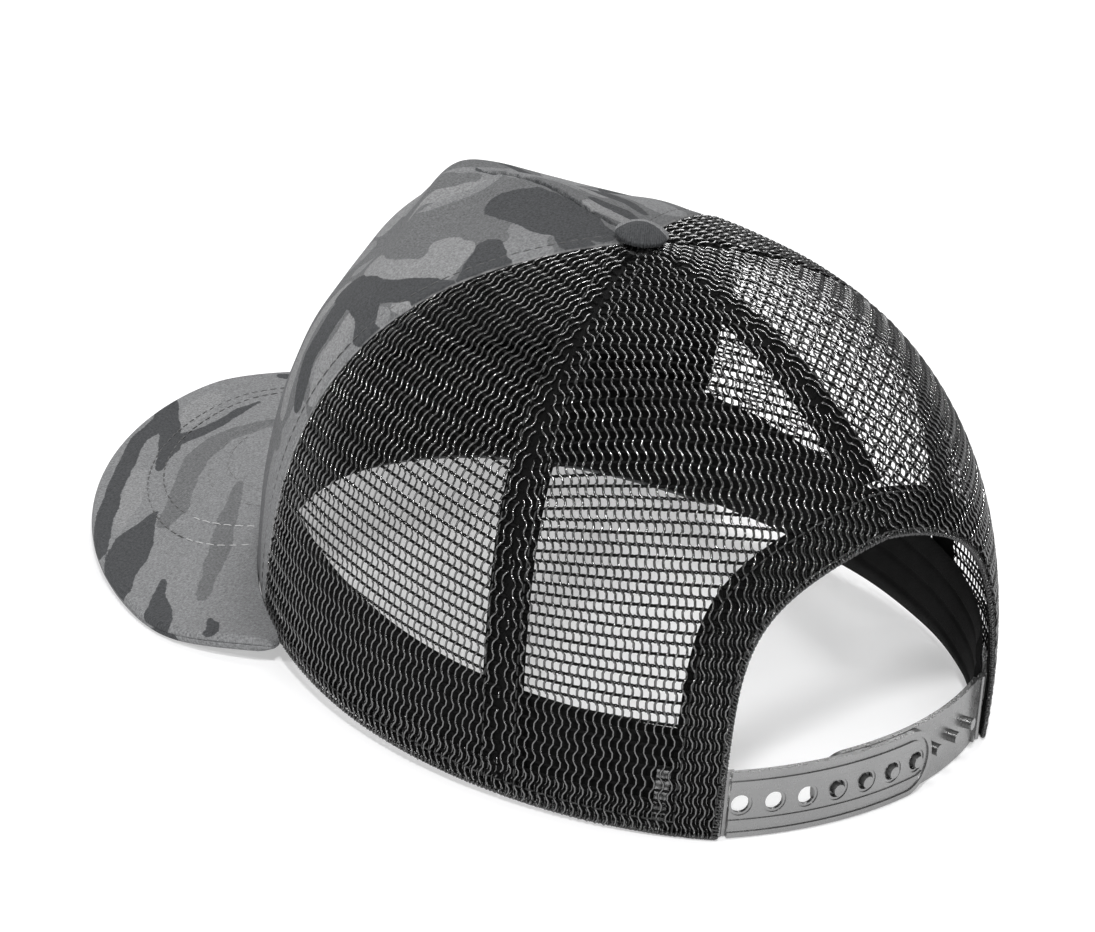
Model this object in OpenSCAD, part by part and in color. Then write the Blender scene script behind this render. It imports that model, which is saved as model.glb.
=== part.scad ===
// Five-panel trucker cap with a curved visor, a mesh rear and a snap strap.
// Forward is -Y, the wearer's left is +X, up is +Z. Millimetres.
// The origin is under the middle of the cap's box, on the surface it rests on.

/* [Crown] */
// Half width of the head opening
half_width = 83.2; // [76:0.1:92]
// Head opening, middle to front
front_length = 103.3; // [90:0.1:115]
// Head opening, middle to back
back_length = 101.6; // [90:0.1:115]
// Height of the crown's top above the rear rim
crown_height = 112.6; // [90:0.1:130]
// How far the top sits forward of the middle
crown_top_forward = 5.4; // [0:0.1:15]
// How much higher the front rim is than the rear rim
rim_rise = 7; // [0:0.1:15]
// Extra rise of the rim at the visor
rim_front_lift = 5.7; // [0:0.1:12]
// Shoulder half width of the crown
shoulder_width = 82.6; // [70:0.1:95]
// Shoulder reach forward
shoulder_front = 93.8; // [70:0.1:110]
// Shoulder reach backward
shoulder_back = 109.3; // [90:0.1:120]
// Shoulder height at the front
shoulder_front_height = 113.0; // [100:0.1:125]
// Shoulder height at the side
shoulder_side_height = 108.7; // [95:0.1:120]
// Shoulder height at the back
shoulder_back_height = 103.1; // [90:0.1:120]
// Fullness of the profile at the front, before the dart's share is added
front_fullness = -0.92; // [-1:0.01:3]
// Fullness of the profile at the side
side_fullness = 1.29; // [1:0.01:3]
// Fullness of the profile at the back
back_fullness = 0.97; // [0.8:0.01:3]
// Extra fullness at the front dart
dart_fullness = 3.08; // [0:0.01:4]
// Extra height at the front dart
dart_lift = 8.1; // [0:0.1:10]
// Squareness of the crown's front plan
front_squareness = 2.81; // [2:0.01:4]
// Squareness of the crown's back plan
back_squareness = 2.16; // [2:0.01:4]

/* [Panels] */
// Cloth and mesh thickness
cloth = 0.8; // [0.5:0.1:1.5]
// Front seam: angle from the front at the rim
front_seam_rim = 55.4; // [45:0.1:65]
// Front seam: angle from the front at the top
front_seam_top = 66.6; // [50:0.1:85]
// Front seam: bow of the angle half way up
front_seam_bow = 1.5; // [-5:0.1:5]
// Side seam: angle from the front at the rim
side_seam_rim = 113.4; // [100:0.1:125]
// Side seam: angle from the front at the top
side_seam_top = 112.2; // [100:0.1:130]
// Side seam: bow of the angle half way up
side_seam_bow = -3.1; // [-6:0.1:5]
// Width of the bound tape behind each seam
tape_width = 11.5; // [8:0.1:16]
// Length of the dart in the front panel
dart_length = 58; // [40:1:70]

/* [Rear opening] */
// Half angle of the rear opening at the rim
arch_angle = 33.4; // [25:0.1:40]
// Height of the rear opening as a share of the back profile
arch_share = 0.415; // [0.3:0.005:0.5]
// Width of the bound hem round the rear opening
arch_hem = 13; // [8:0.5:18]

/* [Sweatband] */
// Height of the sweatband at the front
band_height = 33; // [25:0.5:40]
// Height of the sweatband at the sides and back
band_low_height = 27; // [20:0.5:40]
// Thickness of the sweatband
band_thickness = 1.5; // [1:0.1:3]
// Height of the sweatband's lower edge above the mesh hem
band_lift = 3.4; // [1:0.1:8]

/* [Visor] */
// Half width of the visor
visor_half_width = 92.6; // [80:0.1:100]
// Length of the visor's outline ahead of its widest line
visor_nose = 96.4; // [80:0.1:110]
// Widest line of the visor ahead of the middle of the head opening
visor_widest = 66.8; // [55:0.1:90]
// Fullness of the visor's outline, 2 is an oval
visor_squareness = 1.9; // [1.6:0.05:3]
// Angle from the front at which the visor leaves the rim
visor_end_angle = 65.4; // [50:0.1:70]
// Height of the visor's middle at the tip
visor_tip_height = 12.3; // [4:0.1:25]
// Height of the visor's middle at its widest line
visor_side_height = 2.75; // [2:0.05:10]
// Thickness of the visor's stiffening board
board_thickness = 2.0; // [1.5:0.1:3]

/* [Snap strap] */
// Height of the strap
strap_height = 17.4; // [14:0.1:22]
// Thickness of the strap
strap_thickness = 1.4; // [1.2:0.1:2]
// Height of the strap's lower edge
strap_bottom = 1.0; // [0.5:0.1:6]
// Distance of the strap's outer face from the middle, at the back
strap_back = 94.4; // [88:0.1:100]
// Distance between neighbouring holes or studs
hole_pitch = 8.6; // [7:0.1:11]
// Hole radius
hole_radius = 2.3; // [1.8:0.05:2.6]
// Stud radius
stud_radius = 1.5; // [1.2:0.05:2]
// How far a stud stands out past the outer strap
stud_proud = 0.6; // [0.2:0.1:1.5]
// Arc from the back centre to the first hole
first_hole = 41.2; // [38:0.1:44]
// Gap between the two straps
strap_gap = 0.3; // [0.3:0.05:0.6]
// Radius of the strap's folding root
root_radius = 1.0; // [0.8:0.05:1.4]

/* [Button] */
// Radius of the covered button
button_radius = 6.75; // [5:0.05:9]
// Height of the covered button
button_height = 4.6; // [3:0.1:6]

/* [Hidden] */
$fn = 48;
// Shift of the crown's own axes to the middle of the box
shift_y = (visor_widest + visor_nose + 0.3 - strap_back - stud_proud) / 2;
shift_z = -rim_z(180 - arch_angle);
hole_count = 7;
apex_hole = 2.6;
tape_end = 13.5;
layer_gap = 0.3;
dart_half_angle = 62;
dart_round = 5;
seam_gap = 0.15;

// Smooth step from 0 to 1
function smooth(t) = let (c = max(0, min(1, t))) c * c * (3 - 2 * c);
function mix(a, b, t) = a + (b - a) * t;

// Rim of the head opening at angle a from the front
function rim_y(a) = cos(a) > 0 ? -front_length * cos(a) : -back_length * cos(a);
function rim_z(a) = rim_front_lift * pow(max(0, cos(a)), 1.5)
  + rim_rise * (back_length - rim_y(a)) / (back_length + front_length);
function rim(a) = [half_width * sin(a), rim_y(a), rim_z(a)];

// The shoulder point that shapes the profile at angle a
function plan_k(a, n) = pow(pow(abs(sin(a)), n) + pow(abs(cos(a)), n), -1 / n);
function shoulder_k(a) = plan_k(a, cos(a) > 0 ? front_squareness : back_squareness);
function front_share(a) = 1 - smooth((abs(a) - 13) / 57.7);
function back_share(a) = smooth((abs(a) - 90) / 90);
// The dart makes a soft ridge: its share falls off evenly to both sides
function dart_share(a) =
  let (g = max(0, 1 - (sqrt(a * a + dart_round * dart_round) - dart_round) / dart_half_angle))
  g * (1 - exp(-4 * g));
function blend(a, f, s, b) = s + (b - s) * back_share(a) + (f - s) * front_share(a);
function shoulder_z(a) = blend(a, shoulder_front_height, shoulder_side_height, shoulder_back_height)
  + dart_lift * dart_share(a);
function shoulder(a) = [
  shoulder_width * sin(a) * shoulder_k(a),
  -(cos(a) > 0 ? shoulder_front : shoulder_back) * cos(a) * shoulder_k(a),
  shoulder_z(a)
];
function fullness(a) = blend(a, front_fullness, side_fullness, back_fullness)
  + dart_fullness * dart_share(a);
apex = [0, -crown_top_forward, crown_height];

// Outer surface of the crown: a from the front, s from the rim (0) to the top (1)
function crown(a, s) =
  let (p = (1 - s) * (1 - s), q = 2 * fullness(a) * s * (1 - s), r = s * s)
  (p * rim(a) + q * shoulder(a) + r * apex) / (p + q + r);
function along(a, s) = crown(a + 0.4, s) - crown(a - 0.4, s);
function upward(a, s) = crown(a, s + 0.003) - crown(a, s - 0.003);
function normal(a, s) = let (n = cross(along(a, s), upward(a, s))) n / norm(n);
function skin(a, s, depth) = crown(a, s) - depth * normal(a, s);
// Angle that spans a length along the crown
function span(a, s, length) = length * 0.8 / norm(along(a, s));

// Share of the profile at a height above the rim, or at a distance from the top
function s_at_height(a, h, lo = 0, hi = 0.6, n = 16) =
  n == 0 ? (lo + hi) / 2 :
  let (m = (lo + hi) / 2)
  crown(a, m)[2] - rim_z(a) < h ? s_at_height(a, h, m, hi, n - 1) : s_at_height(a, h, lo, m, n - 1);
function from_top(a, s) = let (d = crown(a, s) - apex) norm([d[0], d[1]]);
function s_at_radius(a, r, lo = 0.3, hi = 1, n = 16) =
  n == 0 ? (lo + hi) / 2 :
  let (m = (lo + hi) / 2)
  from_top(a, m) > r ? s_at_radius(a, r, m, hi, n - 1) : s_at_radius(a, r, lo, m, n - 1);

// Seam angles
function front_seam(s) = mix(front_seam_rim, front_seam_top, s) + front_seam_bow * 4 * s * (1 - s);
function side_seam(s) = mix(side_seam_rim, side_seam_top, s) + side_seam_bow * 4 * s * (1 - s);

// Edge of the rear opening, t from 0 at the rim to 1 at its top
function arch_a(t, grow_a) = 180 - (arch_angle + grow_a) * pow(max(0, cos(90 * t)), 1.27);
function arch_s(t, grow_s) = (arch_share + grow_s) * pow(max(0, sin(90 * t)), 0.449);

// A closed thin solid between two grids of points, far layer first
module slab(outer, inner) {
  nu = len(outer) - 1;
  nv = len(outer[0]) - 1;
  w = nv + 1;
  base = (nu + 1) * w;
  points = [
    for (g = [outer, inner]) for (row = g) for (p = row) p + [0, shift_y, shift_z]
  ];
  top = [
    for (i = [0:nu - 1]) for (j = [0:nv - 1])
      for (f = [[i * w + j, i * w + j + 1, (i + 1) * w + j + 1],
                [i * w + j, (i + 1) * w + j + 1, (i + 1) * w + j]]) f
  ];
  bottom = [for (f = top) [f[0] + base, f[2] + base, f[1] + base]];
  low = [
    for (i = [0:nu - 1])
      for (f = [[i * w, (i + 1) * w, (i + 1) * w + base], [i * w, (i + 1) * w + base, i * w + base]]) f
  ];
  high = [
    for (i = [0:nu - 1]) let (k = i * w + nv)
      for (f = [[k, k + w + base, k + w], [k, k + base, k + w + base]]) f
  ];
  left = [
    for (j = [0:nv - 1])
      for (f = [[j, j + base, j + 1 + base], [j, j + 1 + base, j + 1]]) f
  ];
  right = [
    for (j = [0:nv - 1]) let (k = nu * w + j)
      for (f = [[k, k + 1, k + 1 + base], [k, k + 1 + base, k + base]]) f
  ];
  polyhedron(points, concat(top, bottom, low, high, left, right), 4);
}

// A piece of the crown: lo(j) and hi(j) are [angle, share] at the two long edges
module crown_piece(lo, hi, nu, d0, d1) {
  nv = len(lo) - 1;
  grid = [for (i = [0:nu]) [for (j = [0:nv]) mix(lo[j], hi[j], i / nu)]];
  slab([for (c = grid) [for (p = c) skin(p[0], p[1], d0)]],
       [for (c = grid) [for (p = c) skin(p[0], p[1], d1)]]);
}

function steps(n) = [for (j = [0:n]) j / n];
// Edge points along a seam, moved sideways by a length
function front_edge(n, s0, r, move) = [
  for (t = steps(n)) let (s = mix(s0, s_at_radius(front_seam_top, r), t))
    [front_seam(s) + span(front_seam(s), s, move), s]
];
function side_edge(n, s0, r, move) = [
  for (t = steps(n)) let (s = mix(s0, s_at_radius(side_seam_top, r), t))
    [side_seam(s) + span(side_seam(s), s, move), s]
];

module left_and_mirror(flip) {
  if (flip) mirror([1, 0, 0]) children();
  else children();
}

// ---- Front panel, its stiffener and the bound dart ----
function front_grid(nu, nv, inset, s0h, r) = [
  for (i = [0:nu]) let (u = 2 * i / nu - 1)
    [for (t = steps(nv))
      let (sm = mix(0, 1, t), lim = front_seam(sm) - span(front_seam(sm), min(sm, 0.97), inset),
           a = u * lim, s = mix(s_at_height(a, s0h), s_at_radius(a, r), t))
      [u * (front_seam(s) - span(front_seam(s), s, inset)), s]]
];
module front_slab(nu, nv, inset, s0h, r, d0, d1) {
  g = front_grid(nu, nv, inset, s0h, r);
  slab([for (c = g) [for (p = c) skin(p[0], p[1], d0)]],
       [for (c = g) [for (p = c) skin(p[0], p[1], d1)]]);
}
module front_panel() {
  color("#6b6c6e") front_slab(30, 18, seam_gap, 0, apex_hole, 0, cloth);
}
module front_lining() {
  color("#3a3a3c") front_slab(20, 13, tape_width / 2 + 1, 2, tape_end + 0.5, cloth + layer_gap, 2.4);
}
module front_dart_tape() {
  s0 = s_at_radius(0, dart_length);
  s1 = s_at_radius(0, tape_end + 1);
  e = [for (t = steps(9)) let (s = mix(s0, s1, t)) [span(0, s, tape_width / 2 - 1), s]];
  lo = [for (p = e) [-p[0], p[1]]];
  color("#242426") crown_piece(lo, e, 4, 2.7, 3.4);
}

// ---- Mesh panels ----
module side_mesh(flip) {
  n = 16;
  color("#2b2c2e") left_and_mirror(flip)
    crown_piece(front_edge(n, 0, apex_hole, seam_gap), side_edge(n, 0, apex_hole, -seam_gap), 14, 0, cloth);
}
// Inner edge of a rear panel: up the opening, then up the back seam
arch_part = 0.46;
function back_edge(n) = [
  for (t = steps(n))
    t <= arch_part
      ? let (k = pow(t / arch_part, 2)) [min(arch_a(k, 0), 180 - span(180, arch_share, seam_gap)), arch_s(k, 0)]
      : let (s = mix(arch_share, s_at_radius(180, apex_hole), (t - arch_part) / (1 - arch_part)))
        [180 - span(180, s, seam_gap), s]
];
module back_mesh(flip) {
  n = 26;
  color("#2b2c2e") left_and_mirror(flip)
    crown_piece(side_edge(n, 0, apex_hole, seam_gap), back_edge(n), 13, 0, cloth);
}

// ---- Bound tapes behind the seams ----
module front_seam_tape(flip) {
  n = 18;
  h = tape_width / 2;
  color("#1d1d1f") left_and_mirror(flip)
    crown_piece(front_edge(n, 0.008, tape_end, -h), front_edge(n, 0.008, tape_end, h), 2, 1.1, 1.7);
}
module side_seam_tape(flip) {
  n = 18;
  h = tape_width / 2;
  color("#1d1d1f") left_and_mirror(flip)
    crown_piece(side_edge(n, 0.008, tape_end, -h), side_edge(n, 0.008, tape_end, h), 2, 1.1, 1.7);
}
module back_seam_tape() {
  s0 = arch_share + arch_hem / 157 + 0.008;
  s1 = s_at_radius(180, tape_end);
  e = [for (t = steps(10)) let (s = mix(s0, s1, t)) [span(180, s, tape_width / 2), s]];
  lo = [for (p = e) [180 - p[0], p[1]]];
  hi = [for (p = e) [180 + p[0], p[1]]];
  color("#1d1d1f") crown_piece(lo, hi, 2, 1.1, 1.7);
}
// Bound hem round the rear opening, from one corner over the top to the other
module arch_binding() {
  n = 24;
  ga = arch_hem / 1.56;
  gs = arch_hem / 157;
  half = [for (j = [0:n]) let (k = pow(j / n, 1.9))
    [[arch_a(k, 0.9), max(0.004, arch_s(k, 0.006))], [arch_a(k, ga), max(0.004, arch_s(k, gs))]]];
  back = [for (j = [1:n]) let (h = half[n - j]) [for (p = h) [360 - p[0], p[1]]]];
  ring = concat(half, back);
  wide = 3;
  rows = [for (h = ring) [for (j = [0:wide]) mix(h[0], h[1], j / wide)]];
  color("#1d1d1f")
    slab([for (r = rows) [for (p = r) skin(p[0], p[1], 1.1)]],
         [for (r = rows) [for (p = r) skin(p[0], p[1], 1.7)]]);
}

// ---- Sweatband ----
module sweatband() {
  n = 60;
  end = 180 - arch_angle - 1.2;
  rows = [
    for (i = [0:n]) let (a = mix(-end, end, i / n))
      let (b = mix(1.2, band_lift, smooth((abs(a) - 50) / 20)),
           h = mix(band_height, band_low_height, smooth((abs(a) - 45) / 65)))
      [for (j = [0:3]) [a, s_at_height(a, b + h * j / 3)]]
  ];
  color("#1a1a1c")
    slab([for (r = rows) [for (p = r) skin(p[0], p[1], 3.6)]],
         [for (r = rows) [for (p = r) skin(p[0], p[1], 3.6 + band_thickness)]]);
}

// ---- Visor ----
function visor_inner(u) =
  let (a = u * visor_end_angle, r = rim(a), n = normal(a, 0))
  r + [n[0], n[1], 0] * 0.45;
// The outer edge as a distance from the middle of the widest line, at an angle from the front
function visor_oval(t) = pow(pow(abs(sin(t)) / visor_half_width, visor_squareness)
  + pow(abs(cos(t)) / visor_nose, visor_squareness), -1 / visor_squareness);
visor_root = visor_inner(1);
root_out = norm([visor_root[0], visor_root[1] + visor_widest]) + 2;
root_turn = atan2(visor_root[0], -(visor_root[1] + visor_widest));
function visor_outer(u) =
  let (t = u * root_turn,
       back = max(0, (abs(t) - 80) / (root_turn - 80)),
       r = visor_oval(t) * (1 + (root_out / visor_oval(root_turn) - 1) * back * back),
       x = r * sin(t),
       w = smooth((abs(t) - 85) / (root_turn - 85)),
       z = mix(visor_tip_height, visor_side_height, pow(abs(x) / visor_half_width, 1.34)))
  [x, -visor_widest - r * cos(t), mix(z, visor_root[2], w)];
function visor(u, v) = mix(visor_inner(u), visor_outer(u), v);
function visor_up(u, v) =
  let (n = cross(visor(u + 0.01, v) - visor(u - 0.01, v), visor(u, v + 0.01) - visor(u, v - 0.01)))
  -n / norm(n);
function visor_at(u, v, h) = visor(u, v) + h * visor_up(u, v);
module visor_layer(nu, nv, low, high, inset) {
  ends = inset / 95;
  rows = [for (i = [0:nu]) let (u = mix(-1 + ends, 1 - ends, i / nu), w = norm(visor_outer(u) - visor_inner(u)))
    [for (j = [0:nv]) [u, mix(0.1 / w, 1 - inset / w, j / nv)]]];
  slab([for (r = rows) [for (p = r) visor_at(p[0], p[1], low)]],
       [for (r = rows) [for (p = r) visor_at(p[0], p[1], high)]]);
}
module visor_board() {
  h = board_thickness / 2;
  color("#c9c9c6") visor_layer(30, 7, -h, h, 1.4);
}
module visor_top_cover() {
  h = board_thickness / 2 + layer_gap;
  color("#6b6c6e") visor_layer(36, 8, h, h + cloth, 0);
}
module visor_under_cover() {
  h = board_thickness / 2 + layer_gap;
  color("#5c5d5f") visor_layer(36, 8, -h - cloth, -h, 0);
}

// ---- Snap strap: two bands on one arc, each folding at its root ----
// Root of the wearer's left band
root = skin(180 - arch_angle, 0, 2.6);
root_x = root[0];
root_y = root[1];
// The arc through both roots and the back of the strap, at the outer band's middle
arc_mid = strap_back - strap_thickness / 2 - strap_gap / 2;
sag = arc_mid - root_y;
arc_r = (root_x * root_x + sag * sag) / (2 * sag);
arc_y = arc_mid - arc_r;
root_angle = asin(root_x / arc_r);
function arc_angle(length) = length / arc_r * 180 / PI;
female_in = arc_r + 0.15;
female_out = female_in + strap_thickness;
male_out = arc_r - 0.15;
male_in = male_out - strap_thickness;
strap_mid = strap_bottom + strap_height / 2;

// Local frame of the strap: the arc's centre at the origin, back of the cap along +Y
module strap_frame() {
  translate([0, shift_y + arc_y, shift_z]) children();
}
// A band from one angle to another, measured from the back towards the wearer's left
module band(r0, r1, a0, a1, z0, z1) {
  rotate([0, 0, 90 - a1]) rotate_extrude(angle = a1 - a0) translate([r0, z0]) square([r1 - r0, z1 - z0]);
}
// A cylinder across the band at an arc length from the back centre
module across(length, z, r, r0, r1) {
  rotate([0, 0, -arc_angle(length)]) translate([0, r0, z]) rotate([-90, 0, 0]) cylinder(h = r1 - r0, r = r);
}
// A band with a rounded free end, centred at half the strap's height
module rounded(last, a1, half, r0, r1) {
  far = arc_angle(last - half - 1);
  difference() {
    band(r0, r1, far, a1, strap_mid - half, strap_mid + half);
    difference() {
      band(r0 - 1, r1 + 1, far - 1, arc_angle(last), strap_mid - half - 1, strap_mid + half + 1);
      across(last, strap_mid, half + 0.03, r0 - 3, r1 + 3);
    }
  }
}
// The folding root: a barrel on the hinge line and a thin web out to the band
module root_fold() {
  top = strap_bottom + strap_height;
  web = arc_angle(2.8);
  rotate([0, 0, -root_angle]) translate([0, arc_r, strap_bottom]) cylinder(h = strap_height, r = root_radius);
  band(arc_r - 0.5, arc_r + 0.5, root_angle - web, root_angle, strap_bottom, top);
}
module strap_body(r0, r1, last, clear) {
  rounded(last, root_angle - arc_angle(clear), strap_height / 2, r0, r1);
  root_fold();
}
function hole_at(i) = first_hole - i * hole_pitch;
end_wall = 5.9;

module strap_left() {
  half = strap_height / 2;
  last = hole_at(hole_count - 1) - end_wall + half;
  face = female_out;
  past = root_angle + 3;
  color("#2a2b2d") strap_frame() difference() {
    strap_body(female_in, female_out, last, 1.9);
    // Groove inside the outer rim
    difference() {
      rounded(last, past, half - 1.3, face - 0.35, face + 1);
      rounded(last, past + 1, half - 2.5, face - 1, face + 2);
    }
    // Sunk strip round the holes
    rounded(hole_at(hole_count - 1), past, 4.1, face - 0.3, face + 1);
    for (i = [0:hole_count - 1]) {
      across(hole_at(i), strap_mid, hole_radius, female_in - 1, female_out + 1);
      across(hole_at(i), strap_mid, hole_radius + 0.7, face - 0.55, face + 1);
    }
  }
}
// The first four studs sit in the last four holes; the other three stand clear
engaged = 4;
module strap_right() {
  half = strap_height / 2;
  tip = hole_at(hole_count - engaged);
  last = tip + end_wall - half;
  color("#2a2b2d") strap_frame() {
    mirror([1, 0, 0]) difference() {
      strap_body(male_in, male_out, -last, 1.9);
      // Sunk middle on the hidden face
      rounded(-last, root_angle + 3, half - 3, male_in - 1, male_in + 0.3);
    }
    for (i = [0:hole_count - 1])
      across(tip - i * hole_pitch, strap_mid, stud_radius, male_out - 0.5, female_out + stud_proud);
  }
}
// Flat sewn-in ends, held between the mesh hem and the sweatband
module strap_tab(flip) {
  a1 = 180 - arch_angle - span(180 - arch_angle, 0, root_radius + 1.3);
  a0 = a1 - 9;
  rows = [for (i = [0:5]) let (a = mix(a0, a1, i / 5))
    [for (j = [0:3]) [a, s_at_height(a, mix(strap_bottom, strap_bottom + strap_height, j / 3) - rim_z(a))]]];
  color("#2a2b2d") left_and_mirror(flip)
    slab([for (r = rows) [for (p = r) skin(p[0], p[1], 2.0)]],
         [for (r = rows) [for (p = r) skin(p[0], p[1], 3.2)]]);
}

// ---- Button on top ----
button_lean = 3.7;
module button_frame() {
  translate(apex + [0, shift_y, shift_z]) rotate([-button_lean, 0, 0]) children();
}
// A domed cap: a short wall and a ball's cap over it
module dome(r, wall, rise) {
  ball = (r * r + rise * rise) / (2 * rise);
  rotate_extrude() {
    square([r, wall]);
    intersection() {
      translate([0, wall + rise - ball]) circle(r = ball, $fn = 96);
      translate([0, wall - 0.01]) square([r, rise + 1]);
    }
  }
}
module button_cover() {
  base = 0.55;
  color("#6b6c6e") button_frame() translate([0, 0, base]) difference() {
    dome(button_radius, 1.3, button_height - base - 1.3);
    translate([0, 0, -0.01]) dome(button_radius - 0.6, 1.2, button_height - base - 1.85);
  }
}
module button_shell() {
  base = 0.6;
  r = button_radius - 0.75;
  color("#a8a9ab") button_frame() translate([0, 0, base]) difference() {
    union() {
      difference() {
        dome(r, 1.0, button_height - base - 2.0);
        translate([0, 0, -0.01]) dome(r - 0.7, 0.9, button_height - base - 2.7);
      }
      cylinder(h = 2.2, r = 2.6);
    }
    translate([0, 0, -1]) cylinder(h = 2.6, r = 1.65);
  }
}
module button_rivet() {
  color("#a8a9ab") button_frame() {
    translate([0, 0, -2.4]) cylinder(h = 4.4, r = 1.6);
    translate([0, 0, -2.4]) cylinder(h = 0.8, r = 4.6);
  }
}

front_panel();
front_lining();
side_mesh(false);  // side_mesh_left
side_mesh(true);  // side_mesh_right
back_mesh(false);  // back_mesh_left
back_mesh(true);  // back_mesh_right
front_seam_tape(false);  // front_seam_tape_left
front_seam_tape(true);  // front_seam_tape_right
side_seam_tape(false);  // side_seam_tape_left
side_seam_tape(true);  // side_seam_tape_right
back_seam_tape();
front_dart_tape();
arch_binding();
sweatband();
visor_board();
visor_top_cover();
visor_under_cover();
strap_left();
strap_tab(false);  // strap_left_tab
strap_right();
strap_tab(true);  // strap_right_tab
button_cover();
button_shell();
button_rivet();
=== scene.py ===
import math

import bpy
import numpy as np
from mathutils import Matrix, Vector


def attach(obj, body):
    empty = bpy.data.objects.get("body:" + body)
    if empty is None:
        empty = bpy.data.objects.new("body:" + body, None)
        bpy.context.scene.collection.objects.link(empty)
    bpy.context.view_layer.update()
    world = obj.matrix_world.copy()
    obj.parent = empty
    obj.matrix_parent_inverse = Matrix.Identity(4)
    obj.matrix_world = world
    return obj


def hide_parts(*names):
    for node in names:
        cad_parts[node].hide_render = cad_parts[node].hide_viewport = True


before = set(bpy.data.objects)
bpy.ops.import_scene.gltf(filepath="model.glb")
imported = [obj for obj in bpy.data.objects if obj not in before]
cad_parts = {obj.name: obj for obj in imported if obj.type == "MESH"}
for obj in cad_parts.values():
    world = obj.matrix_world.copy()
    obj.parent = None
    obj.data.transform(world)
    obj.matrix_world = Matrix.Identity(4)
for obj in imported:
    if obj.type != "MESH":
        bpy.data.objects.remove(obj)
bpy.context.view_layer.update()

# A trucker cap: five panels, a curved visor and a snap strap. Forward is -Y and
# the wearer's left is +X. The shape formulas repeat the CAD part's, in mm.
MM = 0.001
SHIFT = np.array([0.0, 34.25, -0.573237])

# ---- crown shape
HALF_WIDTH, FRONT_LENGTH, BACK_LENGTH = 83.2, 103.3, 101.6
CROWN_HEIGHT, TOP_FORWARD, RIM_RISE, RIM_LIFT = 112.6, 5.4, 7.0, 5.7
SHOULDER_WIDTH, SHOULDER_FRONT, SHOULDER_BACK = 82.6, 93.8, 109.3
APEX = np.array([0.0, -TOP_FORWARD, CROWN_HEIGHT])
APEX_HOLE, TAPE_WIDTH, TAPE_END, SEAM_GAP = 2.6, 11.5, 13.5, 0.15
ARCH_ANGLE, ARCH_SHARE, ARCH_HEM = 33.4, 0.415, 13.0
ARCH_TURN, ARCH_RISE = 1.27, 0.449      # powers that shape the rear opening
REAR_SHARE_MM, REAR_DEGREE_MM = 157, 1.56      # mm in one share and one degree, beside the opening
RIM_SHARE_MM = 230      # mm in one share, just over the rim
BAND_HEIGHT, BAND_LOW_HEIGHT, BAND_LIFT = 33.0, 27.0, 3.4
NEAR_TOP = 0.985      # share over which directions on the surface are no longer measured
# How the soft front panel settles: share, spread and depth in mm of each hollow or swell
CREASES = ((0.50, 0.075, 1.7), (0.632, 0.036, -1.7), (0.73, 0.05, 1.6), (0.89, 0.05, -0.6))


def smooth(t):
    t = np.clip(t, 0, 1)
    return t * t * (3 - 2 * t)


def mix(a, b, t):
    return a + (b - a) * t


def bell(x, wide):
    return np.exp(-(x / wide) ** 2)


def sind(a):
    return np.sin(np.radians(a))


def cosd(a):
    return np.cos(np.radians(a))


def rim_y(a):
    return np.where(cosd(a) > 0, -FRONT_LENGTH * cosd(a), -BACK_LENGTH * cosd(a))


def rim_z(a):
    rise = (BACK_LENGTH - rim_y(a)) / (BACK_LENGTH + FRONT_LENGTH)
    return RIM_LIFT * np.maximum(0, cosd(a)) ** 1.5 + RIM_RISE * rise


def rim(a):
    return np.stack([HALF_WIDTH * sind(a), rim_y(a), rim_z(a)], -1)


def dart_share(a):
    """How far the dart at the top of the front lifts the crown, 1 on its line."""
    g = np.maximum(0, 1 - (np.sqrt(a * a + 25) - 5) / 62)
    return g * (1 - np.exp(-4 * g))


def blend(a, front, side, back):
    """A value that goes over from front to side to back, by angle."""
    f = 1 - smooth((np.abs(a) - 13) / 57.7)
    b = smooth((np.abs(a) - 90) / 90)
    return side + (back - side) * b + (front - side) * f


def shoulder(a):
    """The point that pulls the crown outward between rim and top."""
    n = np.where(cosd(a) > 0, 2.81, 2.16)
    k = (np.abs(sind(a)) ** n + np.abs(cosd(a)) ** n) ** (-1 / n)
    reach = np.where(cosd(a) > 0, SHOULDER_FRONT, SHOULDER_BACK)
    z = blend(a, 113.0, 108.7, 103.1) + 8.1 * dart_share(a)
    return np.stack([SHOULDER_WIDTH * sind(a) * k, -reach * cosd(a) * k, z], -1)


def fullness(a):
    return blend(a, -0.92, 1.29, 0.97) + 3.08 * dart_share(a)


def crown(a, s):
    """Outer surface of the crown, in the crown's own axes: a degrees from the front, s from rim to top."""
    a, s = np.broadcast_arrays(np.asarray(a, float), np.asarray(s, float))
    p, q, r = (1 - s) ** 2, 2 * fullness(a) * s * (1 - s), s * s
    top = p[..., None] * rim(a) + q[..., None] * shoulder(a) + r[..., None] * APEX
    return top / (p + q + r)[..., None]


def unit(v):
    return v / np.maximum(np.linalg.norm(v, axis=-1, keepdims=True), 1e-9)


def normal(a, s):
    s = np.minimum(s, NEAR_TOP)
    return unit(np.cross(crown(a + 0.4, s) - crown(a - 0.4, s), crown(a, s + 0.003) - crown(a, s - 0.003)))


def crease(a, s):
    """The front panel is sharper at its top corner, flatter below and behind it, mm."""
    front = 1 - smooth((np.abs(a) - 22) / 32)
    return front * sum(deep * bell(s - at, wide) for at, wide, deep in CREASES)


def skin(a, s, depth):
    """A point at a depth below the crown's surface, in the shared frame, mm."""
    depth = np.asarray(depth, float) + crease(a, s)
    return crown(a, s) - depth[..., None] * normal(a, s) + SHIFT


def mm_per_degree(a, s):
    return np.maximum(np.linalg.norm(crown(a + 0.4, s) - crown(a - 0.4, s), axis=-1) / 0.8, 1e-3)


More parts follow.
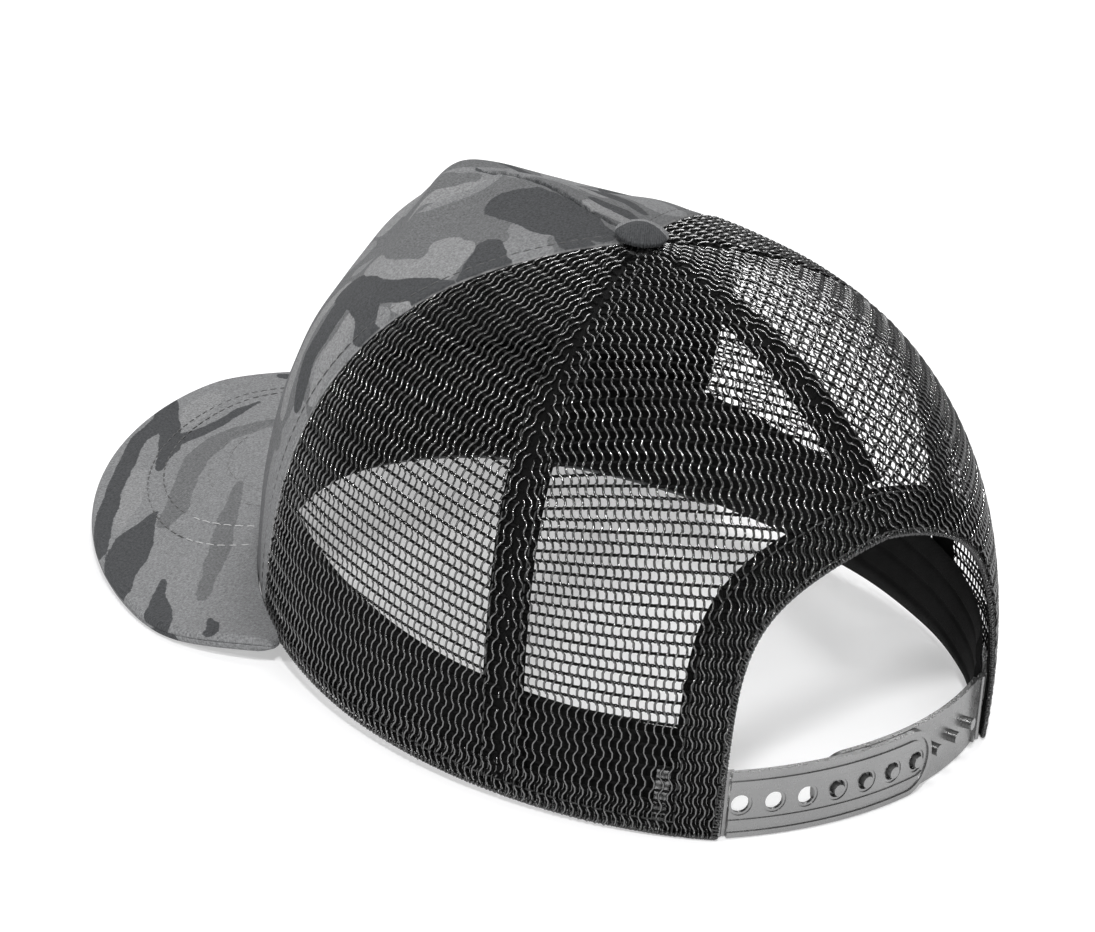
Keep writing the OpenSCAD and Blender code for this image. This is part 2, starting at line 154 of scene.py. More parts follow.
def s_where(test, a, low, high, n=18):
    """Bisects for the share s where test(a, s) turns from true to false."""
    a = np.asarray(a, float)
    lo, hi = np.full(a.shape, float(low)), np.full(a.shape, float(high))
    for _ in range(n):
        m = (lo + hi) / 2
        below = test(a, m)
        lo, hi = np.where(below, m, lo), np.where(below, hi, m)
    return (lo + hi) / 2


def s_at_height(a, h):
    return s_where(lambda a, s: crown(a, s)[..., 2] - rim_z(a) < h, a, 0, 0.6)


def s_at_radius(a, r):
    return s_where(lambda a, s: np.linalg.norm((crown(a, s) - APEX)[..., :2], axis=-1) > r, a, 0.3, 1)


def front_seam(s):
    return mix(55.4, 66.6, s) + 1.5 * 4 * s * (1 - s)


def side_seam(s):
    return mix(113.4, 112.2, s) - 3.1 * 4 * s * (1 - s)


def back_seam(s):
    return 180 + 0 * s


def arch_a(t, grow=0):
    return 180 - (ARCH_ANGLE + grow) * np.maximum(0, cosd(90 * t)) ** ARCH_TURN


def arch_s(t, grow=0):
    return (ARCH_SHARE + grow) * np.maximum(0, sind(90 * t)) ** ARCH_RISE


def arch_edge(t, inset):
    """Angle and share of a line at an inset in mm from the rear opening's edge."""
    return arch_a(t, inset / REAR_DEGREE_MM), np.maximum(0.004, arch_s(t, inset / REAR_SHARE_MM))


def arch_top(a):
    """Share of the rear opening's edge at an angle, 0 beside the opening."""
    k = np.clip((180 - np.abs(a)) / ARCH_ANGLE, 0, 1) ** (1 / ARCH_TURN)
    return ARCH_SHARE * np.sqrt(1 - k * k) ** ARCH_RISE


def arch_side(s):
    """Angle of the rear opening's edge at a share."""
    k = np.clip(s / ARCH_SHARE, 0, 1) ** (1 / ARCH_RISE)
    return 180 - ARCH_ANGLE * np.sqrt(1 - k * k) ** ARCH_TURN


def from_arch(a, s):
    """Distance outside the edge of the rear opening, mm. Negative inside it."""
    up = (s - arch_top(a)) * REAR_SHARE_MM
    side = (arch_side(s) - np.abs(a)) * REAR_DEGREE_MM
    both = up * side / np.maximum(np.hypot(up, side), 1e-6)
    beside = np.where(arch_top(a) > 0, both, side)
    return np.where(s > ARCH_SHARE, up, np.where((up > 0) & (side > 0), beside, -1.0))


# ---- visor shape
VISOR_HALF, VISOR_NOSE, VISOR_WIDEST, VISOR_N, VISOR_END = 92.6, 96.4, 66.8, 1.9, 65.4


def visor_inner(u):
    """The edge of the visor at the crown. u runs from -1 at the right root to 1 at the left one."""
    a = u * VISOR_END
    n = normal(a, np.zeros_like(a)) * [1, 1, 0]
    return rim(a) + n * 0.45


def visor_oval(t):
    across, ahead = np.abs(sind(t)) / VISOR_HALF, np.abs(cosd(t)) / VISOR_NOSE
    return (across ** VISOR_N + ahead ** VISOR_N) ** (-1 / VISOR_N)


VISOR_ROOT = visor_inner(np.array([1.0]))[0]
ROOT_OUT = math.hypot(VISOR_ROOT[0], VISOR_ROOT[1] + VISOR_WIDEST) + 2
ROOT_TURN = math.degrees(math.atan2(VISOR_ROOT[0], -(VISOR_ROOT[1] + VISOR_WIDEST)))


def visor_outer(u):
    """The free edge of the visor, drawn in to the crown at both roots."""
    t = u * ROOT_TURN
    back = np.maximum(0, (np.abs(t) - 80) / (ROOT_TURN - 80))
    r = visor_oval(t) * (1 + (ROOT_OUT / visor_oval(ROOT_TURN) - 1) * back * back)
    x = r * sind(t)
    z = mix(12.3, 2.75, (np.abs(x) / VISOR_HALF) ** 1.34)
    w = smooth((np.abs(t) - 85) / (ROOT_TURN - 85))
    return np.stack([x, -VISOR_WIDEST - r * cosd(t), mix(z, VISOR_ROOT[2], w)], -1)


def visor(u, v):
    """The visor's middle surface: v from 0 at the crown to 1 at the free edge."""
    u, v = np.broadcast_arrays(np.asarray(u, float), np.asarray(v, float))
    return mix(visor_inner(u), visor_outer(u), v[..., None])


def visor_up(u, v):
    along, out = visor(u + 0.01, v) - visor(u - 0.01, v), visor(u, v + 0.01) - visor(u, v - 0.01)
    return -unit(np.cross(along, out))


def visor_at(u, v, h):
    """A point at a height over the visor's middle surface, in the shared frame, mm."""
    h = np.asarray(h, float)
    return visor(u, v) + h[..., None] * visor_up(u, v) + SHIFT


# ---- mesh tools
def signed_volume(co, quads):
    a, b, c, d = (co[quads[:, i]] for i in range(4))
    first, second = (np.einsum("ij,ij->i", a, np.cross(p, q)) for p, q in ((b, c), (c, d)))
    return float((first + second).sum() / 6)


def make_piece(name, co, quads, material, body="crown", replaces=(), values=None, vectors=None):
    """A mesh object from points in mm and four-sided faces, turned outward."""
    co, quads = np.asarray(co, float), np.asarray(quads, np.int32)
    if signed_volume(co, quads) < 0:
        quads = quads[:, ::-1].copy()
    me = bpy.data.meshes.new(name)
    me.vertices.add(len(co))
    me.vertices.foreach_set("co", (co * MM).astype(np.float32).ravel())
    me.loops.add(quads.size)
    me.loops.foreach_set("vertex_index", quads.ravel())
    me.polygons.add(len(quads))
    me.polygons.foreach_set("loop_start", np.arange(0, quads.size, 4, dtype=np.int32))
    me.update(calc_edges=True)
    me.polygons.foreach_set("use_smooth", np.ones(len(quads), bool))
    for kind, what, table in (("FLOAT", "value", values), ("FLOAT_VECTOR", "vector", vectors)):
        for key, arr in (table or {}).items():
            numbers = np.asarray(arr, np.float32).ravel()
            me.attributes.new(key, kind, "POINT").data.foreach_set(what, numbers)
    me.materials.append(material)
    obj = bpy.data.objects.new(name, me)
    bpy.context.scene.collection.objects.link(obj)
    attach(obj, body)
    if replaces:
        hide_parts(*replaces)
    return obj


def grid_quads(rows, cols, base=0):
    i, j = np.meshgrid(np.arange(rows - 1), np.arange(cols - 1), indexing="ij")
    k = (base + i * cols + j).ravel()
    return np.stack([k, k + 1, k + cols + 1, k + cols], -1)


def rim_loop(rows, cols):
    """Indices round the edge of a grid, in order."""
    top = np.arange(cols)
    right = np.arange(1, rows) * cols + cols - 1
    low = (rows - 1) * cols + np.arange(cols - 2, -1, -1)
    left = np.arange(rows - 2, 0, -1) * cols
    return np.concatenate([top, right, low, left])


def shell(outer, inner):
    """A closed cloth from two grids of the same size. Returns points and faces."""
    rows, cols = outer.shape[:2]
    n = rows * cols
    loop = rim_loop(rows, cols)
    nxt = np.roll(loop, -1)
    edge = np.stack([loop, loop + n, nxt + n, nxt], -1)
    quads = np.concatenate([grid_quads(rows, cols), grid_quads(rows, cols, n)[:, ::-1], edge])
    return np.concatenate([outer.reshape(-1, 3), inner.reshape(-1, 3)]), quads


def cloth_piece(name, outer, inner, flat, material, replaces, marks=None):
    """A closed cloth with its flat coordinates in mm, and its print's distances on both faces."""
    co, quads = shell(outer, inner)
    flat = flat.reshape(-1, 3)
    return make_piece(name, co, quads, material, replaces=replaces, values=marks,
                      vectors={"cloth_mm": np.concatenate([flat, flat])})


def tubes(runs):
    """Closed four-sided tubes along runs of (points, normals, radius, flatness): points and faces."""
    cos, qs, base = [], [], 0
    ring = np.arange(4)
    ang = 2 * np.pi * ring / 4
    for P, N, r, flat in runs:
        n = len(P)
        T = unit(np.gradient(P, axis=0))
        B = unit(np.cross(T, N))
        M = np.cross(B, T)
        r = np.broadcast_to(np.asarray(r, float), (n,))
        around = np.cos(ang)[None, :, None] * B[:, None] * flat + np.sin(ang)[None, :, None] * M[:, None]
        cos.append((P[:, None] + r[:, None, None] * around).reshape(-1, 3))
        k = base + np.arange(n - 1)[:, None] * 4
        a, b = k + ring, k + (ring + 1) % 4
        qs.append(np.stack([a, b, b + 4, a + 4], -1).reshape(-1, 4))
        qs.append(np.array([base + ring[::-1], base + (n - 1) * 4 + ring]))
        base += n * 4
    return np.concatenate(cos), np.concatenate(qs)


def arc(P):
    """Length along a line of points, from its start."""
    return np.concatenate([[0], np.cumsum(np.linalg.norm(np.diff(P, axis=0), axis=1))])


# Stitches: length, gap, radius, and how far each rises from the cloth and sinks into it, mm
NET_STITCH = (2.3, 0.6, 0.19, 0.12, 0.3)
SEAM_STITCH = (2.3, 0.7, 0.16, 0.1, 0.2)
VISOR_STITCH = (2.4, 0.7, 0.17, 0.10, 0.2)
FINE_STITCH = (2.4, 0.7, 0.14, 0.04, 0.2)
STITCH_AT = np.array([0, 0.12, 0.35, 0.65, 0.88, 1.0])
STITCH_RISE = np.array([0, 0.75, 1, 1, 0.75, 0])
STITCH_THICK = np.array([0.6, 0.95, 1, 1, 0.95, 0.6])


def stitch_runs(P, N, sizes):
    """Runs of single stitches laid along a line of points with normals."""
    length, gap, radius, lift, sink = sizes
    along = arc(P)
    h = mix(-sink, lift, STITCH_RISE)
    runs, at = [], 0.4
    while at + length < along[-1]:
        q = at + STITCH_AT * length
        p, n = (np.stack([np.interp(q, along, V[:, k]) for k in range(3)], -1) for V in (P, N))
        n = unit(n)
        runs.append((p + n * h[:, None], n, radius * STITCH_THICK, 1.3))
        at += length + gap
    return runs


# ---- materials
class Nodes:
    """A short way to write a material's nodes."""

    def __init__(self, name, roughness, specular=0.5):
        self.material = bpy.data.materials.new(name)
        self.material.use_nodes = True
        self.tree = self.material.node_tree
        self.shader = self.tree.nodes["Principled BSDF"]
        self.constants(**{"Roughness": roughness, "Specular IOR Level": specular})

    def constants(self, **values):
        for socket, value in values.items():
            self.shader.inputs[socket].default_value = value

    def add(self, kind, **facts):
        node = self.tree.nodes.new("ShaderNode" + kind)
        for key, value in facts.items():
            setattr(node, key, value)
        return node

    def put(self, socket, value):
        if isinstance(value, bpy.types.NodeSocket):
            self.tree.links.new(value, socket)
        else:
            socket.default_value = value

    def math(self, what, *values):
        node = self.add("Math", operation=what)
        for socket, value in zip(node.inputs, values):
            self.put(socket, value)
        return node.outputs[0]

    def attribute(self, name):
        return self.add("Attribute", attribute_name=name)

    def noise(self, scale, detail=3.0, rough=0.55):
        node = self.add("TexNoise")
        for socket, value in (("Scale", scale), ("Detail", detail), ("Roughness", rough)):
            node.inputs[socket].default_value = value
        self.put(node.inputs["Vector"], self.add("TexCoord").outputs["Object"])
        return node.outputs["Fac"]

    def wave(self, vector, direction, period):
        """A sine wave from -1 to 1 along a direction of a vector in mm."""
        dot = self.add("VectorMath", operation="DOT_PRODUCT")
        self.put(dot.inputs[0], vector)
        dot.inputs[1].default_value = (*direction, 0.0)
        return self.math("SINE", self.math("MULTIPLY", dot.outputs["Value"], 2 * math.pi / period))

    def step(self, value, low, high):
        node = self.add("MapRange", interpolation_type="SMOOTHSTEP")
        self.put(node.inputs["Value"], value)
        node.inputs["From Min"].default_value = low
        node.inputs["From Max"].default_value = high
        return node.outputs["Result"]

    def colours(self, factor, a, b):
        node = self.add("Mix", data_type="RGBA")
        self.put(node.inputs["Factor"], factor)
        for socket, value in ((node.inputs[6], a), (node.inputs[7], b)):
            self.put(socket, value if isinstance(value, bpy.types.NodeSocket) else (*value, 1.0))
        return node.outputs[2]

    def ramp(self, factor, *stops):
        node = self.add("ValToRGB")
        while len(node.color_ramp.elements) < len(stops):
            node.color_ramp.elements.new(0.5)
        for e, (at, colour) in zip(node.color_ramp.elements, stops):
            e.position, e.color = at, (*colour, 1.0)
        self.put(node.inputs["Fac"], factor)
        return node.outputs["Color"]

    def bump(self, height, strength, distance):
        node = self.add("Bump")
        node.inputs["Strength"].default_value = strength
        node.inputs["Distance"].default_value = distance
        self.put(node.inputs["Height"], height)
        self.put(self.shader.inputs["Normal"], node.outputs["Normal"])

    def drive(self, socket, value):
        self.put(self.shader.inputs[socket], value)


def grey(v, tint=0.0):
    """A grey, turned a little towards blue by its tint."""
    return (v * (1 - tint), v, v * (1 + tint * 1.6))


def camo_material():
    """Twill cotton printed in four soft greys; the print's outlines are distances kept on the mesh. The mid
    and dark greys also paint shade: a painted shadow along the dart's join, and painted shade in the button's
    pleat hollows and on its near side.
    """
    m = Nodes("camo_twill", 0.95, 0.08)
    cloth = m.attribute("cloth_mm").outputs["Vector"]
    ragged = m.math("MULTIPLY", m.math("SUBTRACT", m.noise(620, 2.0), 0.5), 0.9)
    base = m.colours(m.noise(42, 3.0), grey(0.192, 0.012), grey(0.212, 0.012))
    for key, colour in (("print_and_shade_mid", grey(0.136, 0.014)), ("print_light", grey(0.228, 0.008)),
                        ("print_and_shade_dark", grey(0.062, 0.03))):
        inside = m.step(m.math("ADD", m.attribute(key).outputs["Fac"], ragged), 0.16, -0.16)
        base = m.colours(inside, base, colour)
    twill = m.wave(cloth, (1.0, 1.0), 0.78)
    cross = m.wave(cloth, (1.0, -0.35), 0.42)
    fibre = m.noise(1700, 3.0, 0.75)
    weave = m.math("MULTIPLY_ADD", twill, 0.55, m.math("MULTIPLY", cross, 0.25))
    shade = m.math("ADD", m.math("MULTIPLY", weave, 0.16), m.math("MULTIPLY_ADD", fibre, 1.9, -0.005))
    hsv = m.add("HueSaturation")
    m.put(hsv.inputs["Color"], base)
    m.put(hsv.inputs["Value"], shade)
    edge = m.step(m.attribute("from_edge").outputs["Fac"], 0.75, 0.1)
    worn = m.math("MULTIPLY", edge, m.step(m.noise(260, 2.0), 0.2, 0.75))
    m.drive("Base Color", m.colours(m.math("MULTIPLY", worn, 0.75), hsv.outputs["Color"], grey(0.42)))
    height = m.math("ADD", weave, m.math("MULTIPLY", m.noise(2300, 3.0), 0.9))
    m.bump(height, 0.55, 0.00022)
    m.constants(**{"Sheen Weight": 0.03})
    return m.material


def woven_material(name, dark, light, pitch, roughness, sheen):
    """Plain woven or ribbed cloth with threads in two directions."""
    m = Nodes(name, roughness, 0.12)
    cloth = m.attribute("cloth_mm").outputs["Vector"]
    weave = m.math("MULTIPLY", m.wave(cloth, (1.0, 0.0), pitch), m.wave(cloth, (0.0, 1.0), pitch * 0.62))
    worn = m.math("MULTIPLY_ADD", weave, 0.22, m.math("MULTIPLY", m.noise(160, 4.0), 0.9))
    m.drive("Base Color", m.ramp(worn, (0.25, grey(dark)), (0.8, grey(light))))
    m.bump(m.math("ADD", weave, m.math("MULTIPLY", m.noise(1500, 3.0), 0.8)), 0.6, 0.0003)
    m.constants(**{"Sheen Weight": sheen})
    return m.material


def twisted(m, dark, light, rough_spread, rough_low):
    """The colour, twist and patchy roughness of a nylon yarn. Returns the twist's noise."""
    twist = m.noise(2600, 3.0, 0.6)
    worn = m.math("MULTIPLY_ADD", m.noise(140, 3.0), 0.4, m.math("MULTIPLY", twist, 0.6))
    m.drive("Base Color", m.ramp(worn, (0.3, grey(dark)), (0.75, grey(light))))
    m.bump(twist, 0.8, 0.00022)
    m.drive("Roughness", m.math("MULTIPLY_ADD", m.noise(900, 2.0), rough_spread, rough_low))
    return twist


def yarn_material(name, dark, light, roughness):
    """Sewing thread with a fine twist."""
    m = Nodes(name, roughness, 0.5)
    twisted(m, dark, light, 0.3, roughness - 0.15)
    return m.material


def net_material():
    """Nylon mesh: the wales on top are smooth and catch the light, the bars under them are dull."""
    m = Nodes("mesh_yarn", 0.8, 0.12)
    m.constants(**{"Coat Roughness": 0.14, "Coat IOR": 2.4})
    twist = twisted(m, 0.002, 0.007, 0.2, 0.7)
    wale = m.attribute("wale").outputs["Fac"]
    m.drive("Coat Weight", m.math("MULTIPLY", wale, m.math("MULTIPLY_ADD", twist, 0.8, 0.5)))
    return m.material


def plastic_material(name, dark, light, roughness, ior=1.5, specular=0.5):
    """Moulded plastic with flow marks and fine scratches."""
    m = Nodes(name, roughness, specular)
    m.constants(IOR=ior)
    flow = m.noise(38, 4.0, 0.6)
    m.drive("Base Color", m.ramp(flow, (0.3, grey(dark)), (0.75, grey(light))))
    scratch = m.noise(700, 4.0, 0.7)
    m.drive("Roughness", m.math("MULTIPLY_ADD", scratch, 0.28, roughness - 0.12))
    m.bump(m.math("MULTIPLY_ADD", flow, 1.5, m.math("MULTIPLY", scratch, 0.5)), 0.2, 0.0003)
    return m.material


def metal_material(name):
    m = Nodes(name, 0.35, 0.5)
    m.constants(Metallic=1.0)
    turned = m.noise(420, 3.0, 0.6)
    m.drive("Base Color", m.ramp(turned, (0.3, grey(0.05)), (0.8, grey(0.12))))
    m.bump(turned, 0.3, 0.0002)
    return m.material


CAMO = camo_material()
NET = net_material()
TAPE = woven_material("seam_tape_cloth", 0.002, 0.007, 0.9, 0.85, 0.0)
BAND = woven_material("sweatband_cloth", 0.002, 0.008, 0.75, 0.9, 0.02)
LINING = woven_material("lining_buckram", 0.008, 0.02, 1.1, 0.9, 0.0)
THREAD_DARK = yarn_material("thread_dark", 0.05, 0.10, 0.55)
THREAD_CLOTH = yarn_material("thread_cloth", 0.12, 0.19, 0.6)
THREAD_GREY = yarn_material("thread_grey", 0.25, 0.36, 0.6)
THREAD_LIGHT = yarn_material("thread_light", 0.36, 0.5, 0.6)
THREAD_BLACK = yarn_material("thread_black", 0.008, 0.02, 0.45)
STRAP = plastic_material("strap_plastic", 0.012, 0.075, 0.27, 2.1, 0.95)
BOARD = plastic_material("visor_board_plastic", 0.5, 0.62, 0.5)
METAL = metal_material("button_metal")


# ---- print
# Strokes of the front panel are (angle, share, radius in mm), and of the visor (u, v, radius in mm)
def print_distance(P, strokes, place):
    """Distance in mm from points to the nearest stroke, negative inside.

    A stroke is a list of (a, b, radius), and place(a, b) puts its points on the cap.
    """
    best = np.full(len(P), 1e3)
    for stroke in strokes:
        a, b, r = np.array(stroke, float).T
        q = place(a, b)
        for i in range(len(q) - 1):
            d = q[i + 1] - q[i]
            t = np.clip((P - q[i]) @ d / max(d @ d, 1e-9), 0, 1)
            off = np.linalg.norm(P - q[i] - t[:, None] * d, axis=1) - mix(r[i], r[i + 1], t)
            best = np.minimum(best, off)
    return best


def waves(P, low, high, seed, n):
    """A sum of n sine waves through space, with lengths from low to high mm."""
    r = np.random.default_rng(seed)
    out = np.zeros(P.shape[:-1])
    for _ in range(n):
        out += np.sin(P @ (unit(r.normal(size=3)) * 2 * np.pi / r.uniform(low, high)) + r.uniform(0, 6.28))
    return out


def wobble(P, seed):
    """A smooth wandering of the print's outlines, mm."""
    return waves(P, 7, 17, seed, 6) * 0.3 / 2.5


def cloth_noise(P, size, low=14, high=34, seed=3):
    """A gentle unevenness of cloth, mm."""
    return waves(P, low, high, seed, 9) * size / math.sqrt(9 / 2)


FRONT_DARK = [
    [(19, .80, 5.2), (18, .83, 7), (21, .86, 7.8), (26, .89, 7.5), (32, .925, 6), (40, .955, 3.5)],
    [(9, .86, 3), (11, .90, 3.5), (13, .94, 3)],
    [(40, .915, 5), (56, .918, 4.2), (68, .925, 3.4)],
    [(50, .80, 3.4), (55, .795, 4.2), (60, .77, 4.2), (65, .735, 2.6)],
    [(64, .70, 2.4), (60, .66, 4.2), (55, .605, 4), (50, .56, 4.8), (44, .515, 5), (39, .485, 4.4)],
    [(60, .79, 4), (68, .80, 3)],
    [(62, .66, 4), (68, .64, 4), (67, .60, 3)],
    [(44, .50, 5), (47, .465, 5), (49, .425, 4.8), (50, .38, 4.4), (53, .34, 3.8), (55, .31, 2.8)],
    [(48, .53, 4), (56, .54, 4), (60, .51, 4), (63, .52, 3)],
    [(-9, .64, 1.2), (-15, .70, 2.6), (-26, .79, 3), (-38, .87, 2.4), (-47, .905, 1)],
    [(-14, .90, 1.5), (-28, .92, 2.6), (-42, .94, 1.5)],
    [(-6, .30, 5), (2, .36, 7), (8, .31, 5.5), (12, .22, 3)],
    [(-30, .50, 6), (-24, .56, 7.5), (-13, .57, 5), (-7, .52, 2.5)],
    [(-46, .30, 4), (-40, .22, 6.5), (-32, .18, 5.5), (-24, .20, 2.5)],
    [(-54, .62, 4.5), (-47, .68, 6), (-38, .68, 4)],
    [(24, .14, 3), (31, .11, 4.5), (38, .06, 3)],
    [(-14, .10, 3.5), (-5, .07, 5), (4, .10, 3)],
]
FRONT_LIGHT = [
    [(42, .72, 4.4), (48, .73, 6.4), (52, .71, 7), (57, .70, 4.6)],
    [(47, .745, 3.5), (49, .76, 1.6)],
    [(55, .68, 4), (52, .665, 4.6), (46, .61, 3.4), (41, .57, 3.5), (36, .55, 3)],
    [(53, .50, 2.4), (55, .475, 3.4), (56, .44, 4), (57, .40, 4), (59, .35, 3)],
    [(36, .46, 3), (39, .42, 4), (42, .37, 4), (46, .32, 3.5), (49, .26, 3)],
    [(60, .60, 2), (63, .61, 2)],
    [(22, .60, 1.0), (16, .655, 2.3), (9, .715, 1.8), (5, .75, .8)],
    [(-8, .93, 3.4), (-18, .95, 2.5)],
    [(-14, .80, 2.2), (-24, .855, 2.4)],
    [(-20, .35, 5), (-14, .42, 6), (-4, .46, 4)],
    [(-36, .40, 6), (-44, .48, 5), (-50, .44, 3)],
    [(14, .45, 4), (8, .52, 5), (0, .55, 3)],
    [(-22, .66, 4), (-32, .62, 5)],
    [(10, .12, 4), (18, .17, 4), (20, .22, 2)],
]
FRONT_BASE = [
    [(20, .02, 8), (17, .12, 8), (20, .22, 7), (23, .32, 6), (20, .42, 5)],
    [(6, .74, 5), (12, .69, 5), (20, .63, 4), (26, .58, 3)],
    [(38, .845, 3.5), (46, .86, 5), (56, .85, 6.5), (68, .85, 6)],
    [(10, .50, 4), (14, .56, 3.5), (8, .62, 3.5), (0, .68, 5), (-6, .70, 5)],
    [(30, .48, 3), (26, .52, 3)],
    [(58, .40, 7), (58, .46, 6), (60, .55, 4)],
    [(56, .0, 9), (55, .10, 8), (56, .20, 8), (57, .28, 6)],
    [(35, .0, 8), (30, .10, 7), (38, .18, 6)],
    [(-4, .80, 5), (-14, .84, 4), (-24, .86, 3)],
    [(-10, .0, 9), (-20, .10, 8), (-18, .28, 7), (-28, .40, 7)],
    [(-50, .0, 10), (-52, .14, 9), (-46, .36, 7), (-52, .56, 6)],
    [(-34, .72, 6), (-46, .80, 6), (-56, .84, 6)],
    [(2, .56, 6), (-10, .50, 7), (-4, .40, 6), (6, .44, 5)],
]
FRONT_MID = [
    [(30, .58, 7), (33, .66, 9), (26, .72, 7), (30, .78, 8)],
    [(24, .50, 6), (20, .58, 7), (14, .64, 5)],
    [(6, .70, 3), (10, .66, 4)],
    [(44, .26, 4), (52, .22, 3)],
    [(-2, .20, 7), (-12, .24, 8), (-20, .20, 5)],
    [(-30, .30, 6), (-34, .38, 5)],
    [(-44, .56, 6), (-50, .52, 5)],
    [(4, .60, 5), (-6, .64, 6)],
    [(-20, .86, 4), (-34, .88, 4)],
    [(52, .90, 3), (60, .92, 3)],
]
VISOR_DARK = [
    [(.10, .985, 1.5), (.135, .94, 3.2), (.17, .87, 3.6), (.20, .80, 2.6), (.235, .745, 2.8), (.27, .73, 2),
     (.31, .71, .7)],
    [(.175, .90, 3.2), (.23, .925, 2.4), (.30, .895, 2.2), (.38, .895, 2.3), (.45, .90, 2.4), (.52, .94, 2.3),
     (.59, .985, 2)],
    [(.0, .70, .5), (.05, .69, 1.3), (.10, .675, 1.9), (.15, .69, 2), (.20, .74, 2.4)],
    [(.455, .63, .4), (.48, .66, 1.6), (.52, .70, 3.4), (.56, .76, 5.2), (.61, .84, 5.6), (.66, .93, 4.8),
     (.70, 1.0, 3.4)],
    [(.695, .66, .4), (.74, .76, 2), (.785, .88, 3.4), (.81, 1.0, 4.8)],
    [(.855, .62, .4), (.88, .72, 1.6), (.90, .88, 2), (.90, 1.0, 1.4)],
    [(-.06, .42, 1), (-.12, .50, 3), (-.20, .55, 3.5), (-.28, .50, 1.5)],
    [(-.10, .93, 1.8), (-.20, .88, 2.6), (-.32, .90, 3), (-.42, .95, 2.6)],
    [(-.50, .60, 1.2), (-.47, .70, 4), (-.53, .80, 5), (-.60, .90, 4)],
    [(-.38, .22, 1), (-.45, .30, 3), (-.55, .30, 3.6), (-.63, .40, 2)],
    [(-.72, .70, 1.5), (-.78, .85, 3.4), (-.83, 1.0, 3.4)],
]
VISOR_MID = [
    [(-.02, .44, 1), (.06, .52, 2.4), (.15, .575, 3), (.25, .575, 3.2), (.36, .53, 3), (.44, .52, 3),
     (.50, .58, 2.2)],
    [(.30, .27, 1), (.40, .23, 2.2), (.52, .22, 2.7), (.63, .25, 2.8), (.72, .36, 2.2), (.78, .48, 1)],
    [(-.16, .72, 2), (-.28, .70, 3), (-.38, .62, 2)],
    [(-.66, .55, 2), (-.70, .40, 3), (-.64, .22, 1.5)],
]
VISOR_LIGHT = [
    [(.05, .87, 3), (.10, .84, 4), (.14, .80, 2.5)],
    [(.33, .80, 2), (.42, .78, 3), (.50, .83, 2)],
    [(-.05, .62, 2), (-.10, .68, 3)],
    [(-.36, .40, 3), (-.28, .32, 3)],
]


def front_place(a, s):
    return skin(a, s, np.zeros_like(a))


def prints(P, dark, mid, light, place, seed):
    """The print's signed distances at points, by the names that the cloth's material reads."""
    w = wobble(P, seed)
    return {"print_and_shade_dark": print_distance(P, dark, place) + w,
            "print_and_shade_mid": print_distance(P, mid, place) + np.roll(w, 7),
            "print_light": print_distance(P, light, place) + w}


# ---- front panel
def front_limit(s, inset):
    """Angle of the front panel's edge, less an inset in mm."""
    s2 = np.minimum(s, 0.97)
    return front_seam(s) - inset / mm_per_degree(front_seam(s2), s2)


def front_grid(rows, cols, inset, low, radius, power=1.25):
    """Angles and shares over the front panel, as the CAD part lays them."""
    u = np.linspace(-1, 1, rows)
    u = np.sign(u) * np.abs(u) ** power
    t = np.linspace(0, 1, cols)
    U, T = np.meshgrid(u, t, indexing="ij")
    A0 = U * front_limit(T, inset)
    lo, hi = s_at_height(A0, low), s_at_radius(A0, radius)
    S = mix(lo, hi, T)
    return U * front_limit(S, inset), S, U, T


DART_AT, DART_LENGTH = 0.35, 60      # the dart's join beside the middle line, and its reach, mm
LAP_STITCH = 4.3      # the front seam's row of stitches, mm inside its edge


def dart_place(A, S):
    """Distances in mm across from the dart's middle line, and out from the button."""
    d = crown(A, S) - APEX
    return A * mm_per_degree(A, np.minimum(S, NEAR_TOP)), np.hypot(d[..., 0], d[..., 1])


def dart_depth(A, S):
    """The bound dart on top: a groove with one raised lip and small puckers."""
    x, r = dart_place(A, S)
    on = smooth((DART_LENGTH + 2 - r) / 7)
    beat = np.sin(r * 2 * np.pi / 8.6) * 0.5 + np.sin(r * 2 * np.pi / 5.3 + 1.0) * 0.5
    groove = 1.3 * bell(x - DART_AT, 0.5)
    lap = np.where(x < 0, -(0.62 + 0.22 * beat) * np.exp(x / 3.2), 0.0)
    pucker = 0.2 * beat * bell(x, 5.0)
    return on * (groove + lap + pucker)


def dart_shadow_line(A, S):
    """Distance to the join of the dart, with short puckers beside it, mm: a shadow painted dark along the
    join and its puckers.
    """
    x, r = dart_place(A, S)
    tuck = np.maximum(0, np.sin(r * 2 * np.pi / 9.5)) ** 3 * 1.1
    return np.abs(x - DART_AT) - 0.42 - tuck * (x > 0) + 4 * smooth((r - DART_LENGTH) / 6)


